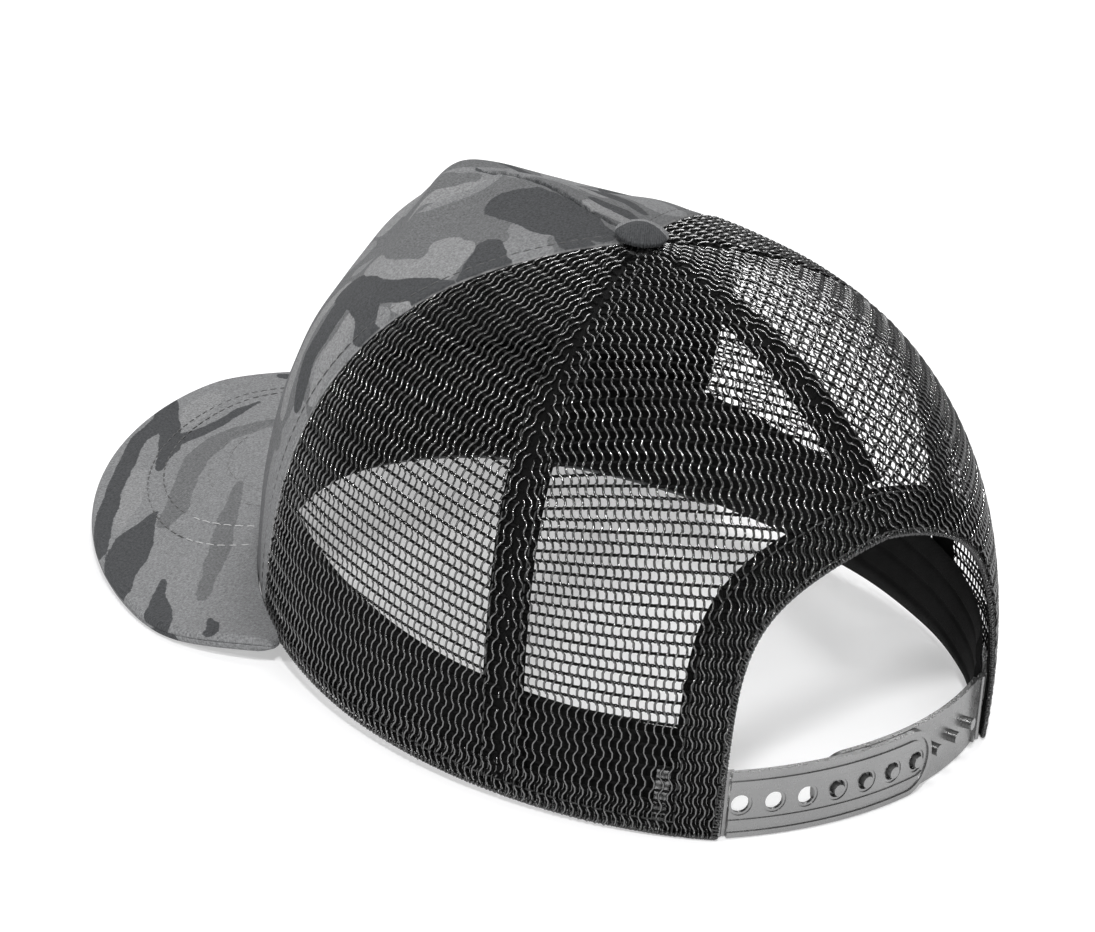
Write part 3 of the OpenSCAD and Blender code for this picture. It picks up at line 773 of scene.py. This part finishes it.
def build_front():
    """The printed front panel, with its rounded edges, the laps beside its seams and its dart."""
    A, S, _, _ = front_grid(173, 151, SEAM_GAP, 0, APEX_HOLE)
    P0 = crown(A, S)
    seam = (front_limit(S, 0) - np.abs(A)) * mm_per_degree(A, S)
    low = np.linalg.norm(P0 - P0[:, :1], axis=-1)
    edge = np.minimum(seam, low + 0.4)
    rounded, pressed = 0.55 * bell(edge, 0.55), 0.16 * bell(seam - LAP_STITCH, 0.5)
    lap = 0.12 * smooth((LAP_STITCH - 0.1 - seam) / 1.2) * (seam < LAP_STITCH)
    depth = 0.12 + rounded + pressed - lap + dart_depth(A, S)
    depth = depth + cloth_noise(P0, 0.10) * smooth(seam / 6) + 0.10
    outer = skin(A, S, depth)
    inner = skin(A, S, np.maximum(depth + 0.5, 0.75))
    flat = np.stack([A * 1.45, arc_grid(P0), 0 * A], -1)
    points = outer.reshape(-1, 3)
    marks = prints(points, FRONT_DARK, FRONT_MID, FRONT_LIGHT, front_place, 5)
    plain = print_distance(points, FRONT_BASE, front_place) + wobble(points, 6)
    marks["print_and_shade_mid"] = np.minimum(marks["print_and_shade_mid"], -plain)
    # Painted shadow: the dart's join and its puckers are drawn into the dark grey.
    marks["print_and_shade_dark"] = np.minimum(marks["print_and_shade_dark"], dart_shadow_line(A, S).ravel())
    marks["from_edge"] = seam.ravel()
    marks = {k: np.concatenate([v, v + (2.0 if k == "from_edge" else 0)]) for k, v in marks.items()}
    return cloth_piece("front_panel_cloth", outer, inner, flat, CAMO, ["front_panel"], marks)


def arc_grid(P):
    """Length along the second axis of a grid of points."""
    step = np.linalg.norm(np.diff(P, axis=1), axis=-1)
    return np.concatenate([np.zeros((len(P), 1)), np.cumsum(step, axis=1)], axis=1)


def build_lining():
    """The stiffener behind the front panel."""
    A, S, U, T = front_grid(61, 61, TAPE_WIDTH / 2 + 1, 2, TAPE_END + 0.5, 1.0)
    P0 = crown(A, S)
    wave = cloth_noise(P0, 0.12, 16, 40, 9)
    edge = 1 - np.maximum(np.abs(U), np.abs(2 * T - 1)) ** 16
    outer = skin(A, S, 1.15 + 0.25 * (1 - edge))
    inner = skin(A, S, 2.3 - 0.25 * (1 - edge) + np.clip(wave, -0.2, 0.1))
    flat = np.stack([A * 1.4, arc_grid(P0), 0 * A], -1)
    return cloth_piece("front_lining_cloth", outer, inner, flat, LINING, ["front_lining"])


# ---- strips behind the seams
def strip(name, A, S, d0, d1, stands_for, crowned=0.12):
    """A tape inside the crown from depth d0 to d1, with softly rounded edges.

    A and S are grids of angle and share, across and along.
    """
    rows = A.shape[0]
    u = np.linspace(-1, 1, rows)[:, None]
    ease = np.abs(u) ** 6
    P0 = crown(A, S)
    ripple = cloth_noise(P0, 0.03, 3, 9, 4)
    outer = skin(A, S, d0 + (d1 - d0) * 0.35 * ease + ripple * (1 - ease))
    inner = skin(A, S, d1 - (d1 - d0) * 0.35 * ease + crowned * (1 - u * u) + ripple)
    flat = np.stack([arc_grid(P0), arc_grid(P0.swapaxes(0, 1)).T, 0 * A], -1)
    return cloth_piece(name, outer, inner, flat, TAPE, [stands_for])


def seam_strip(edge, s0, s1, half, n=120, rows=9):
    """Angle and share grids for a tape centred on a seam."""
    s = np.linspace(s0, s1, n)
    a = edge(s)
    wide = np.linspace(-half, half, rows)[:, None]
    return a + wide / mm_per_degree(a, s), np.broadcast_to(s, (rows, n))


def build_tapes():
    """The tapes that bind the seams and the dart from behind."""
    for side, sign in (("left", 1), ("right", -1)):
        for name, edge, r in (("front", front_seam, 66.6), ("side", side_seam, 112.2)):
            top = float(s_at_radius(np.array([r]), TAPE_END)[0])
            A, S = seam_strip(edge, 0.008, top, TAPE_WIDTH / 2)
            tape = f"{name}_seam_tape_{side}"
            strip(tape + "_cloth", A * sign, S, 1.1, 1.7, tape)
    top = float(s_at_radius(np.array([180.0]), TAPE_END)[0])
    low = ARCH_SHARE + ARCH_HEM / REAR_SHARE_MM + 0.008
    A, S = seam_strip(back_seam, low, top, TAPE_WIDTH / 2)
    strip("back_seam_tape_cloth", A, S, 1.1, 1.7, "back_seam_tape")
    s0, s1 = (float(s_at_radius(np.array([0.0]), r)[0]) for r in (58, TAPE_END + 1))
    A, S = seam_strip(lambda s: 0 * s, s0, s1, TAPE_WIDTH / 2 - 1)
    strip("front_dart_tape_cloth", A, S, 2.7, 3.4, "front_dart_tape")


def arch_line(n):
    """Parameters along half of the rear opening's edge, evenly spaced by length."""
    t = np.linspace(0, 1, 600) ** 2
    P = crown(arch_a(t), arch_s(t))
    along = arc(P)
    return np.interp(np.linspace(0, along[-1], n), along, t)


def build_arch_binding():
    """The tape round the rear opening, behind the net's fold."""
    t = arch_line(90)
    wide = np.linspace(0, 1, 11)[:, None]
    a0, s0 = arch_a(t, 0.5), np.maximum(0.004, arch_s(t, 0.003))
    a1, s1 = arch_edge(t, ARCH_HEM)
    A, S = mix(a0[None], a1[None], wide), mix(s0[None], s1[None], wide)
    A = np.concatenate([A, (360 - A)[:, ::-1][:, 1:]], axis=1)
    S = np.concatenate([S, S[:, ::-1][:, 1:]], axis=1)
    return strip("arch_binding_cloth", A, S, 1.15, 1.75, "arch_binding", 0.1)


# ---- net
PITCH_X, PITCH_V = 2.1, 2.9      # between wales and between bars, mm
NET_HALF, FIRST_BAR = 60.0, 0.55      # half the width that yarns are laid over, and the first bar's place
POINTS_A_PITCH = 4.4
FOLD_HEIGHT, FOLD_DEPTH = 8.5, 0.62      # the net's folded second layer, mm
# One pitch of a wale: place between two bars, slide from full lean, and depth
WALE_AT, WALE_SLIDE = np.array([0.13, 0.27, 0.70, 0.87]), np.array([-0.30, 0.0, 0.0, 0.30])
WALE_DEPTH = np.array([0.12, 0.30, 0.30, 0.12])


class Gore:
    """One mesh panel as flat cloth: x mm across from its middle line, v mm up from the rim.

    Its rows start along the rim's direction and run straight over the crown both ways.
    """

    def __init__(self, low_edge, high_edge, rear):
        self.low, self.high, self.rear = low_edge, high_edge, rear
        s = np.linspace(-0.07, 0.985, 420)
        mid = (low_edge(s) + high_edge(s)) / 2
        line = crown(mid, s)
        up = arc(line) - np.interp(0, s, arc(line))
        self.v = np.arange(up[0] + 0.5, up[-1], 1.0)
        self.x = np.arange(-NET_HALF - 4, NET_HALF + 4.5, 1.0)
        s0 = np.interp(self.v, up, s)
        a0 = np.interp(self.v, up, mid)
        along = unit(crown(mid[0] + 0.4, 0.0) - crown(mid[0] - 0.4, 0.0))
        self.A = np.zeros((len(self.v), len(self.x)))
        self.S = np.zeros_like(self.A)
        zero = int(np.argmin(np.abs(self.x)))
        for way in (1, -1):
            a, sh = a0.copy(), s0.copy()
            run = np.broadcast_to(along * way, (len(a), 3)).copy()
            k = zero
            while 0 <= k < len(self.x):
                self.A[:, k], self.S[:, k] = a, sh
                xa = (crown(a + 0.2, sh) - crown(a - 0.2, sh)) / 0.4
                xs = (crown(a, sh + 0.002) - crown(a, sh - 0.002)) / 0.004
                n = unit(np.cross(xa, xs))
                run = unit(run - (run * n).sum(1)[:, None] * n)
                g11, g12, g22 = ((p * q).sum(1) for p, q in ((xa, xa), (xa, xs), (xs, xs)))
                b1, b2 = (xa * run).sum(1), (xs * run).sum(1)
                det = np.maximum(g11 * g22 - g12 * g12, 1e-3)
                a = a + np.clip((g22 * b1 - g12 * b2) / det, -6, 6)
                sh = np.clip(sh + np.clip((g11 * b2 - g12 * b1) / det, -0.02, 0.02), -0.09, 0.99)
                k += way

    def at(self, x, v):
        """Angle and share of a point of the flat cloth."""
        i = np.clip(v - self.v[0], 0, len(self.v) - 1.001)
        j = np.clip(x - self.x[0], 0, len(self.x) - 1.001)
        i0, j0 = i.astype(int), j.astype(int)
        fi, fj = i - i0, j - j0
        return [mix(mix(G[i0, j0], G[i0, j0 + 1], fj), mix(G[i0 + 1, j0], G[i0 + 1, j0 + 1], fj), fi)
                for G in (self.A, self.S)]

    def from_seams(self, a, s):
        """Distances inside the panel's two seams, mm."""
        k = mm_per_degree(a, np.minimum(s, NEAR_TOP))
        return (a - self.low(s)) * k, (self.high(s) - a) * k

    def inside(self, a, s):
        """Distance inside the panel's edges, mm. Negative outside it."""
        low, high = self.from_seams(a, s)
        top = np.linalg.norm((crown(a, s) - APEX)[..., :2], axis=-1) - APEX_HOLE - 0.4
        f = np.minimum.reduce([low - 0.25, high - 0.25, s * RIM_SHARE_MM - 0.3, top])
        return np.minimum(f, from_arch(a, s) - 0.3) if self.rear else f

    def seam_dip(self, a, s):
        """How far the net is drawn in beside a seam, mm."""
        return 0.32 * bell(np.maximum(np.minimum(*self.from_seams(a, s)), 0), 1.7)


def yarn(gore, sign, x, v, d, r, flat, fold=False):
    """The stretches of one yarn that lie inside a panel, or inside its folded layer, for tubes()."""
    a, s = gore.at(x, v)
    f = gore.inside(a, s)
    if fold:
        band = FOLD_HEIGHT - s * RIM_SHARE_MM
        if gore.rear:
            band = np.maximum(band, ARCH_HEM - 0.8 - from_arch(a, s))
        f, d = np.minimum(f, band), d + FOLD_DEPTH
    turns = np.flatnonzero(np.diff(np.concatenate([[False], f > 0, [False]])))
    for start, end in turns.reshape(-1, 2):
        if end - start >= 2:
            k = slice(start, end)
            aa, ss, dd = a[k] * sign, s[k], d[k] + gore.seam_dip(a[k], s[k])
            yield skin(aa, ss, dd), normal(aa, ss), r, flat


def net_runs(gore, sign):
    """All yarns of one panel, as runs for tubes(): the bars, and the wales that zigzag over them."""
    bars, wales = [], []
    rows = int(gore.v[-1] / PITCH_V) + 2
    x = np.arange(-NET_HALF, NET_HALF, PITCH_X / POINTS_A_PITCH)
    for j in range(-4, rows):
        phase = 2 * np.pi * x / PITCH_X + 0.7 * j
        w, h, r = (0.30, 0.08, 0.19) if j % 2 else (0.19, 0.10, 0.25)
        drift = 0.10 * np.sin(x / 9.0 + j * 1.7)
        for turn in (0.0, np.pi):
            for v0, depth, fold in ((FIRST_BAR, 0.66, False), (FIRST_BAR + 1.5, 0.46, True)):
                v = v0 + j * PITCH_V + drift + w * np.cos(phase + turn)
                bars += yarn(gore, sign, x, v, depth + h * np.sin(phase + turn), r, 1.15, fold)
    j = np.repeat(np.arange(-4, rows), 4)
    v = FIRST_BAR + (j + np.tile(WALE_AT, rows + 4)) * PITCH_V
    zigzag = np.where(j % 2 == 0, 1.0, -1.0) * (0.5 - np.abs(np.tile(WALE_SLIDE, rows + 4)))
    d = np.tile(WALE_DEPTH, rows + 4)
    for i in range(int(-NET_HALF / PITCH_X), int(NET_HALF / PITCH_X) + 1):
        x = (i + 0.44 * zigzag) * PITCH_X + 0.08 * np.sin(v / 7.0 + i)
        wales += yarn(gore, sign, x, v, d, 0.27, 1.2)
        wales += yarn(gore, sign, x + PITCH_X / 2, v, d * 0.5 + 0.16, 0.18, 1.1, True)
    return bars, wales


def build_nets():
    """The four mesh panels, yarn by yarn."""
    for name, low, high in (("side", front_seam, side_seam), ("back", side_seam, back_seam)):
        gore = Gore(low, high, rear=name == "back")
        for label, sign in (("left", 1), ("right", -1)):
            bars, wales = (tubes(runs) for runs in net_runs(gore, sign))
            co = np.concatenate([bars[0], wales[0]])
            quads = np.concatenate([bars[1], wales[1] + len(bars[0])])
            wale = np.repeat([0.0, 1.0], [len(bars[0]), len(wales[0])])
            make_piece(f"{name}_mesh_{label}_net", co, quads, NET,
                       replaces=[f"{name}_mesh_{label}"], values={"wale": wale})


# ---- sweatband
def build_sweatband():
    """A padded band inside the rim, with three sewn channels and a lower edge that stands off."""
    end = 180 - ARCH_ANGLE - 1.2
    a = np.linspace(-end, end, 260)
    low = mix(0.8, BAND_LIFT - 3.1, smooth((np.abs(a) - 50) / 20))
    tall = mix(BAND_HEIGHT, BAND_LOW_HEIGHT, smooth((np.abs(a) - 45) / 65))
    t = np.linspace(0, 1, 40)
    A = np.broadcast_to(a, (len(t), len(a)))
    S = np.stack([s_at_height(a, low + tall * k) for k in t])
    folds = sum(0.42 * bell(t - seam, 0.022) for seam in (0.24, 0.5, 0.75))[:, None]
    puff = 0.5 * np.abs(np.sin(np.pi * t * 4))[:, None] ** 0.7
    wave = cloth_noise(crown(A, S), 0.10, 20, 60, 8)
    edge = (np.abs(2 * t - 1) ** 14)[:, None]
    flare = 1.9 * (1 - smooth(t / 0.2))[:, None] * smooth((np.abs(a) - 58) / 8)[None]
    outer = skin(A, S, 3.6 + 0.5 * edge - flare)
    inner = skin(A, S, 4.75 - 0.45 * edge + puff * 0.6 - folds - flare + wave)
    flat = np.stack([A * 1.5, t[:, None] * BAND_HEIGHT + 0 * A, 0 * A], -1)
    return cloth_piece("sweatband_cloth_band", outer, inner, flat, BAND, ["sweatband"])


# ---- visor covers
# Stitch rows: how far forward (v), where they turn back to the crown (u), and whether in the outer pair
ROWS = ((.800, .590, True), (.752, .500, True), (.545, .395, False), (.497, .315, False))
COVER_HEIGHT, STITCH_HEIGHT, ROW_POWER = 2.1, 1.95, 2.9


def stitch_path(front, turn, n=240):
    """A row of stitches on the visor: along the front at v = front, then back to the crown at u = turn."""
    t = np.linspace(-1, 1, n)
    ang = np.abs(t) * 90
    c = (np.abs(cosd(ang)) ** ROW_POWER + np.abs(sind(ang)) ** ROW_POWER) ** (-1 / ROW_POWER)
    return np.sign(t) * turn * np.minimum(1, sind(ang) * c), front * cosd(ang) * c


def visor_cover(name, sign, stands_for):
    """One face of the visor's cloth, sign 1 on top and -1 under, pressed in along its stitch rows."""
    nu, nv, wrap = 221, 100, 9
    u = np.linspace(-1, 1, nu)
    w = np.linalg.norm(visor_outer(u) - visor_inner(u), axis=-1)
    round_mm = np.minimum(1.7, w * 0.35)
    v_top = 1 - round_mm / w
    start = -0.8 / w
    flat_v = np.linspace(0, 1, nv)[None] * (v_top - start)[:, None] + start[:, None]
    ang = np.linspace(0, 90, wrap + 1)[1:]
    curl = v_top[:, None] + (round_mm / w)[:, None] * sind(ang)[None]
    V = np.concatenate([flat_v, curl], axis=1)
    taper = np.minimum(1, (1 - np.abs(u)) * 95 / 3.0 + 0.3)[:, None]
    round_over = np.broadcast_to(COVER_HEIGHT * cosd(ang) + 0.12, (nu, wrap))
    H = np.concatenate([np.full((nu, nv), COVER_HEIGHT), round_over], axis=1) * taper
    Ug = np.broadcast_to(u[:, None], V.shape)
    P0 = visor(Ug, V)
    d = np.zeros(V.shape)
    for front, turn, _ in ROWS:
        near = np.full(V.shape, 1e3)
        for point in visor(*stitch_path(front, turn))[::2]:
            near = np.minimum(near, np.linalg.norm(P0 - point, axis=-1))
        d += 0.20 * bell(near, 0.7)
    from_edge = (1 - V) * w[:, None]
    ease = smooth(from_edge / 3)
    H = H - d * ease * taper + cloth_noise(P0, 0.06, 12, 30, 6) * ease * taper
    outer = visor_at(Ug, V, H * sign)
    inner = visor_at(Ug, np.minimum(V, 1 - 0.35 / w[:, None]), np.maximum(H - 0.7, 0.05) * sign)
    flat = np.stack([P0[..., 0], P0[..., 1], 0 * V], -1)
    strokes = [[[(u * sign, v, r) for u, v, r in stroke] for stroke in print_strokes]
               for print_strokes in (VISOR_DARK, VISOR_MID, VISOR_LIGHT)]
    marks = prints(outer.reshape(-1, 3), *strokes,
                   lambda u, v: visor_at(u, v, np.full_like(u, COVER_HEIGHT * sign)), 7 if sign > 0 else 8)
    marks["from_edge"] = from_edge.ravel() + 1.2
    marks = {k: np.concatenate([v, v]) for k, v in marks.items()}
    return cloth_piece(name, outer, inner, flat, CAMO, [stands_for], marks)


def stitch_piece(name, runs, material):
    co, quads = tubes(runs)
    return make_piece(name, co, quads, material)


def build_visor_stitches():
    dark, light, inner, under = [], [], [], []
    for front, turn, outer_row in ROWS:
        u, v = stitch_path(front, turn, 900)
        P, N = visor_at(u, v, np.full_like(u, STITCH_HEIGHT)), visor_up(u, v)
        under += stitch_runs(visor_at(u, v, np.full_like(u, -STITCH_HEIGHT)), -N, VISOR_STITCH)
        if not outer_row:
            inner += stitch_runs(P, N, FINE_STITCH)
            continue
        side = (np.abs(u) > turn * 0.93) & (v < front * 0.93)
        for part, runs in ((~side, dark), (side & (u > 0), light), (side & (u < 0), light)):
            runs += stitch_runs(P[part], N[part], VISOR_STITCH)
    for row, runs, material in (("front", dark, THREAD_DARK), ("side", light, THREAD_LIGHT),
                                ("inner", inner, THREAD_CLOTH), ("under", under, THREAD_GREY)):
        stitch_piece("visor_stitches_" + row, runs, material)


# ---- stitches on the crown
def crown_line(a, s, depth):
    return skin(a, s, np.full_like(a, depth)), normal(a, s)


def away_from_button(a, s):
    return np.linalg.norm((crown(a, s) - APEX)[:, :2], axis=1) > 12


def build_crown_stitches():
    from_seam, top = 4.4, 0.965
    camo, black = [], []

    def net_row(a, s, depth):
        black.extend(stitch_runs(*crown_line(a, s, depth), NET_STITCH))

    s = np.linspace(0.012, top, 500)
    s_back = np.linspace(ARCH_SHARE + 0.09, top, 300)
    for sign in (1, -1):
        camo += stitch_runs(*crown_line(front_limit(s, LAP_STITCH) * sign, s, 0.34), SEAM_STITCH)
        for edge, off in ((front_seam, from_seam), (side_seam, -from_seam), (side_seam, from_seam)):
            a = edge(s) + off / mm_per_degree(edge(s), s)
            keep = away_from_button(a, s)
            net_row(a[keep] * sign, s[keep], 0.15)
        a = back_seam(s_back) - from_seam / mm_per_degree(back_seam(s_back), s_back)
        keep = away_from_button(a, s_back)
        net_row(a[keep] * sign, s_back[keep], 0.15)
    t = arch_line(300)
    for inset in (1.6, ARCH_HEM - 2.0):
        a, sh = arch_edge(t, inset)
        net_row(np.concatenate([a, (360 - a)[::-1]]), np.concatenate([sh, sh[::-1]]), 0.12)
    a = np.linspace(58, 180 - ARCH_ANGLE - 6, 400)
    for sign in (1, -1):
        net_row(a * sign, s_at_height(a, BAND_LIFT + 1.0), 0.12)
    stitch_piece("front_seam_stitches", camo, THREAD_DARK)
    stitch_piece("mesh_seam_stitches", black, THREAD_BLACK)


# ---- the net's folded edges
# One loop of yarn over the fold: inset from the edge and depth at each of its points, mm
LOOP_INSET = np.array([1.7, 0.8, 0.15, 0.0, 0.15, 0.8, 1.7])
LOOP_DEPTH = np.array([0.20, 0.12, 0.30, 0.62, 0.95, 1.12, 1.05])
LOOP_PITCH, CORD_R = 1.05, 0.28
RIM_DEGREE_MM, ARCH_HALF_MM = 1.55, 112      # mm in one degree of the rim, and in half the opening's edge
RIM_CORD_TURNS, ARCH_CORD_TURNS = 44, 52


def edge_loops(place, length):
    """Yarn that turns over a folded edge. place(t, inset) gives angle and share."""
    for k in range(int(length / LOOP_PITCH)):
        t = (k + 0.5) * LOOP_PITCH / length
        slant = 0.0018 * (1 if k % 2 else -1)
        a, s = place(np.clip(t + slant * (LOOP_INSET - 0.8), 0, 1), LOOP_INSET)
        yield skin(a, s, LOOP_DEPTH), normal(a, s), 0.24, 1.3


def build_hem():
    """The folded edges of the mesh, along the rim and round the opening: a twisted cord and loops over it."""
    runs = []
    for sign in (1, -1):
        for lo, hi in ((55.6, 113.3), (113.5, 180 - ARCH_ANGLE - 0.3)):
            a = np.linspace(lo, hi, 420)
            for turn in (0, np.pi):
                ph = 2 * np.pi * np.linspace(0, RIM_CORD_TURNS, 420) + turn
                sh = s_at_height(a, 0.80 + 0.3 * np.cos(ph))
                runs.append((skin(a * sign, sh, 0.55 + 0.25 * np.sin(ph)), normal(a * sign, sh), CORD_R, 1.1))

            def rim_place(t, inset, lo=lo, hi=hi, sign=sign):
                angle = mix(lo, hi, t)
                return angle * sign, s_at_height(angle, 0.35 + inset)

            runs += edge_loops(rim_place, (hi - lo) * RIM_DEGREE_MM)
    t = arch_line(500)
    along = np.linspace(0, 1, len(t))
    for flip in (False, True):
        for turn in (0, np.pi):
            ph = 2 * np.pi * along * ARCH_CORD_TURNS + turn
            a, sh = arch_edge(t, 0.55 + 0.25 * np.cos(ph))
            a = 360 - a if flip else a
            runs.append((skin(a, sh, 0.6 + 0.25 * np.sin(ph)), normal(a, sh), CORD_R, 1.1))

        def arch_place(q, inset, flip=flip):
            a, sh = arch_edge(np.interp(q, along, t), inset + 0.1)
            return (360 - a if flip else a), sh

        runs += edge_loops(arch_place, ARCH_HALF_MM)
    co, quads = tubes(runs)
    make_piece("mesh_hem", co, quads, NET, values={"wale": np.full(len(co), 0.5)})


# ---- button
BUTTON_R, BUTTON_WALL, BUTTON_BASE, BUTTON_RISE, BUTTON_LEAN = 6.75, 1.25, 0.55, 2.75, -3.7
WALL_SHARE = 0.30      # share of the profile's points on the wall
PLEATS = 48


def build_button():
    """A cloth-covered button: small pleats gathered down its side."""
    n_t, n_r = 432, 36
    th = np.linspace(0, 2 * np.pi, n_t, endpoint=False)
    ball = (BUTTON_R * BUTTON_R + BUTTON_RISE * BUTTON_RISE) / (2 * BUTTON_RISE)
    k = np.linspace(0, 1, n_r)
    up = k / WALL_SHARE
    phi = math.asin(BUTTON_R / ball) * (1 - (k - WALL_SHARE) / (1 - WALL_SHARE))
    r = np.where(up < 1, mix(BUTTON_R - 0.55, BUTTON_R, np.sin(up * np.pi / 2)), ball * np.sin(phi))
    z = BUTTON_BASE + np.where(up < 1, BUTTON_WALL * up, BUTTON_WALL + BUTTON_RISE - ball * (1 - np.cos(phi)))
    r[-1] = 0.02
    gathered = 0.28 * smooth((r - 3.8) / 2.5) * (0.6 + 0.4 * smooth((3.4 - z) / 2))
    pleat = np.abs(np.sin(th * PLEATS / 2))
    rr = np.maximum(r[None] - 0.35 + pleat[:, None] * gathered[None], 0.01)
    P = np.stack([rr * np.cos(th)[:, None], rr * np.sin(th)[:, None], np.broadcast_to(z, rr.shape)], -1)
    inner = P * [0.9, 0.9, 1.0] - [0, 0, 0.5]
    inner[..., 2] = np.maximum(inner[..., 2], BUTTON_BASE)
    turn = np.array(Matrix.Rotation(math.radians(BUTTON_LEAN), 3, "X"))
    co = np.concatenate([(Q @ turn.T + APEX + SHIFT).reshape(-1, 3) for Q in (P, inner)])
    n = n_t * n_r
    ring, nxt = np.arange(n_t) * n_r, (np.arange(n_t) + 1) % n_t * n_r
    k, k2 = (base[:, None] + np.arange(n_r - 1) for base in (ring, nxt))
    faces = np.stack([k, k + 1, k2 + 1, k2], -1).reshape(-1, 4)
    low = np.stack([ring, ring + n, nxt + n, nxt], -1)
    quads = np.concatenate([faces, faces[:, ::-1] + n, low])
    local = P.reshape(-1, 3)
    # Painted shade on the button: the dark grey over its near side, towards (0.69, 0.72), and the mid grey in
    # the hollows between its pleats away from the middle; the light grey is pushed out and never shows.
    near, left = local @ np.array([0.69, 0.72, 0.0]), local @ np.array([0.72, -0.69, 0.0])
    pleat_shade = np.repeat(0.5 - 1.6 * pleat, n_r) - np.tile(smooth((3.4 - r) / 2), n_t)
    marks = {"print_and_shade_dark": 0.05 * left * left - 0.12 * left - near - 0.9, "print_and_shade_mid": -pleat_shade,
             "print_light": np.maximum(2.0, pleat_shade), "from_edge": np.full(n, 9.0)}
    marks = {k: np.concatenate([v, v]) for k, v in marks.items()}
    flat = np.stack([1.5 * left, 0 * left, 0 * left], -1)
    return make_piece("button_cloth", co, quads, CAMO, replaces=["button_cover"],
                      values=marks, vectors={"cloth_mm": np.concatenate([flat, flat])})


# ---- build all
front_cloth = build_front()
front_lining = build_lining()
build_tapes()
binding = build_arch_binding()
build_nets()
build_hem()
sweatband = build_sweatband()
visor_top = visor_cover("visor_top_cloth", 1, "visor_top_cover")
visor_under = visor_cover("visor_under_cloth", -1, "visor_under_cover")
build_visor_stitches()
build_crown_stitches()
button = build_button()

for material, nodes in ((STRAP, ("strap_left", "strap_right", "strap_left_tab", "strap_right_tab")),
                        (BOARD, ("visor_board",)), (METAL, ("button_shell", "button_rivet"))):
    for node in nodes:
        slots = bpy.data.objects[node].data.materials
        slots.clear()
        slots.append(material)

# ---- floor, light, camera
floor_mesh = bpy.data.meshes.new("floor")
FLOOR = 6.0
corners = [(x * FLOOR, y * FLOOR, 0) for x, y in ((-1, -1), (1, -1), (1, 1), (-1, 1))]
floor_mesh.from_pydata(corners, [], [(0, 1, 2, 3)])
floor = bpy.data.objects.new("floor", floor_mesh)
bpy.context.scene.collection.objects.link(floor)
m = Nodes("floor_pale", 0.9, 0.1)
m.constants(**{"Base Color": (0.62, 0.62, 0.625, 1),
               "Emission Color": (1, 1, 1, 1), "Emission Strength": 0.42})
floor_mesh.materials.append(m.material)

world = bpy.data.worlds.new("studio")
world.use_nodes = True
sky = world.node_tree.nodes["Background"].inputs
sky["Color"].default_value, sky["Strength"].default_value = (1, 1, 1, 1), 0.27
bpy.context.scene.world = world

# Round soft lights aimed at the cap: place, size and power
LIGHTS = {"key": ((0.75, 0.75, 1.35), 0.2, 17), "side": ((1.5, -0.3, 0.9), 0.2, 10),
          "rear": ((0.3, 1.7, 0.5), 0.2, 2.5), "back": ((-1.1, -0.7, 1.25), 0.8, 15),
          "fill": ((0.2, -1.5, 0.7), 1.0, 4), "top": ((-0.3, 0.1, 1.7), 0.6, 8)}
for name, (place, size, power) in LIGHTS.items():
    data = bpy.data.lights.new(name, "AREA")
    data.shape, data.size, data.energy = "DISK", size, power
    obj = bpy.data.objects.new(name, data)
    obj.location = place
    obj.rotation_mode = "QUATERNION"
    obj.rotation_quaternion = (Vector((0, 0, 0.05)) - Vector(place)).to_track_quat("-Z", "Y")
    bpy.context.scene.collection.objects.link(obj)

# The camera looks at the target from this azimuth, elevation and distance, turned by the roll
AZIMUTH, ELEVATION, ROLL, DISTANCE = 136.1, 24.9, 4.9, 1.2415
TARGET = Vector((0.0302, 0.03425, 0.060527))
az, el, roll = (math.radians(x) for x in (AZIMUTH, ELEVATION, ROLL))
back = Vector((math.sin(az) * math.cos(el), -math.cos(az) * math.cos(el), math.sin(el)))
right = (-back).cross(Vector((0, 0, 1))).normalized()
up = right.cross(-back)
rolled_right = right * math.cos(roll) + up * math.sin(roll)
rolled_up = up * math.cos(roll) - right * math.sin(roll)
camera = bpy.data.objects.new("camera", bpy.data.cameras.new("camera"))
camera.data.lens, camera.data.sensor_width = 167.19, 36.0
camera.data.clip_start, camera.data.clip_end = 0.05, 30
camera.matrix_world = Matrix.Translation(TARGET + back * DISTANCE) @ Matrix(
    (rolled_right, rolled_up, back)).transposed().to_4x4()
bpy.context.scene.collection.objects.link(camera)
bpy.context.scene.camera = camera
bpy.context.scene.view_settings.view_transform = "Standard"
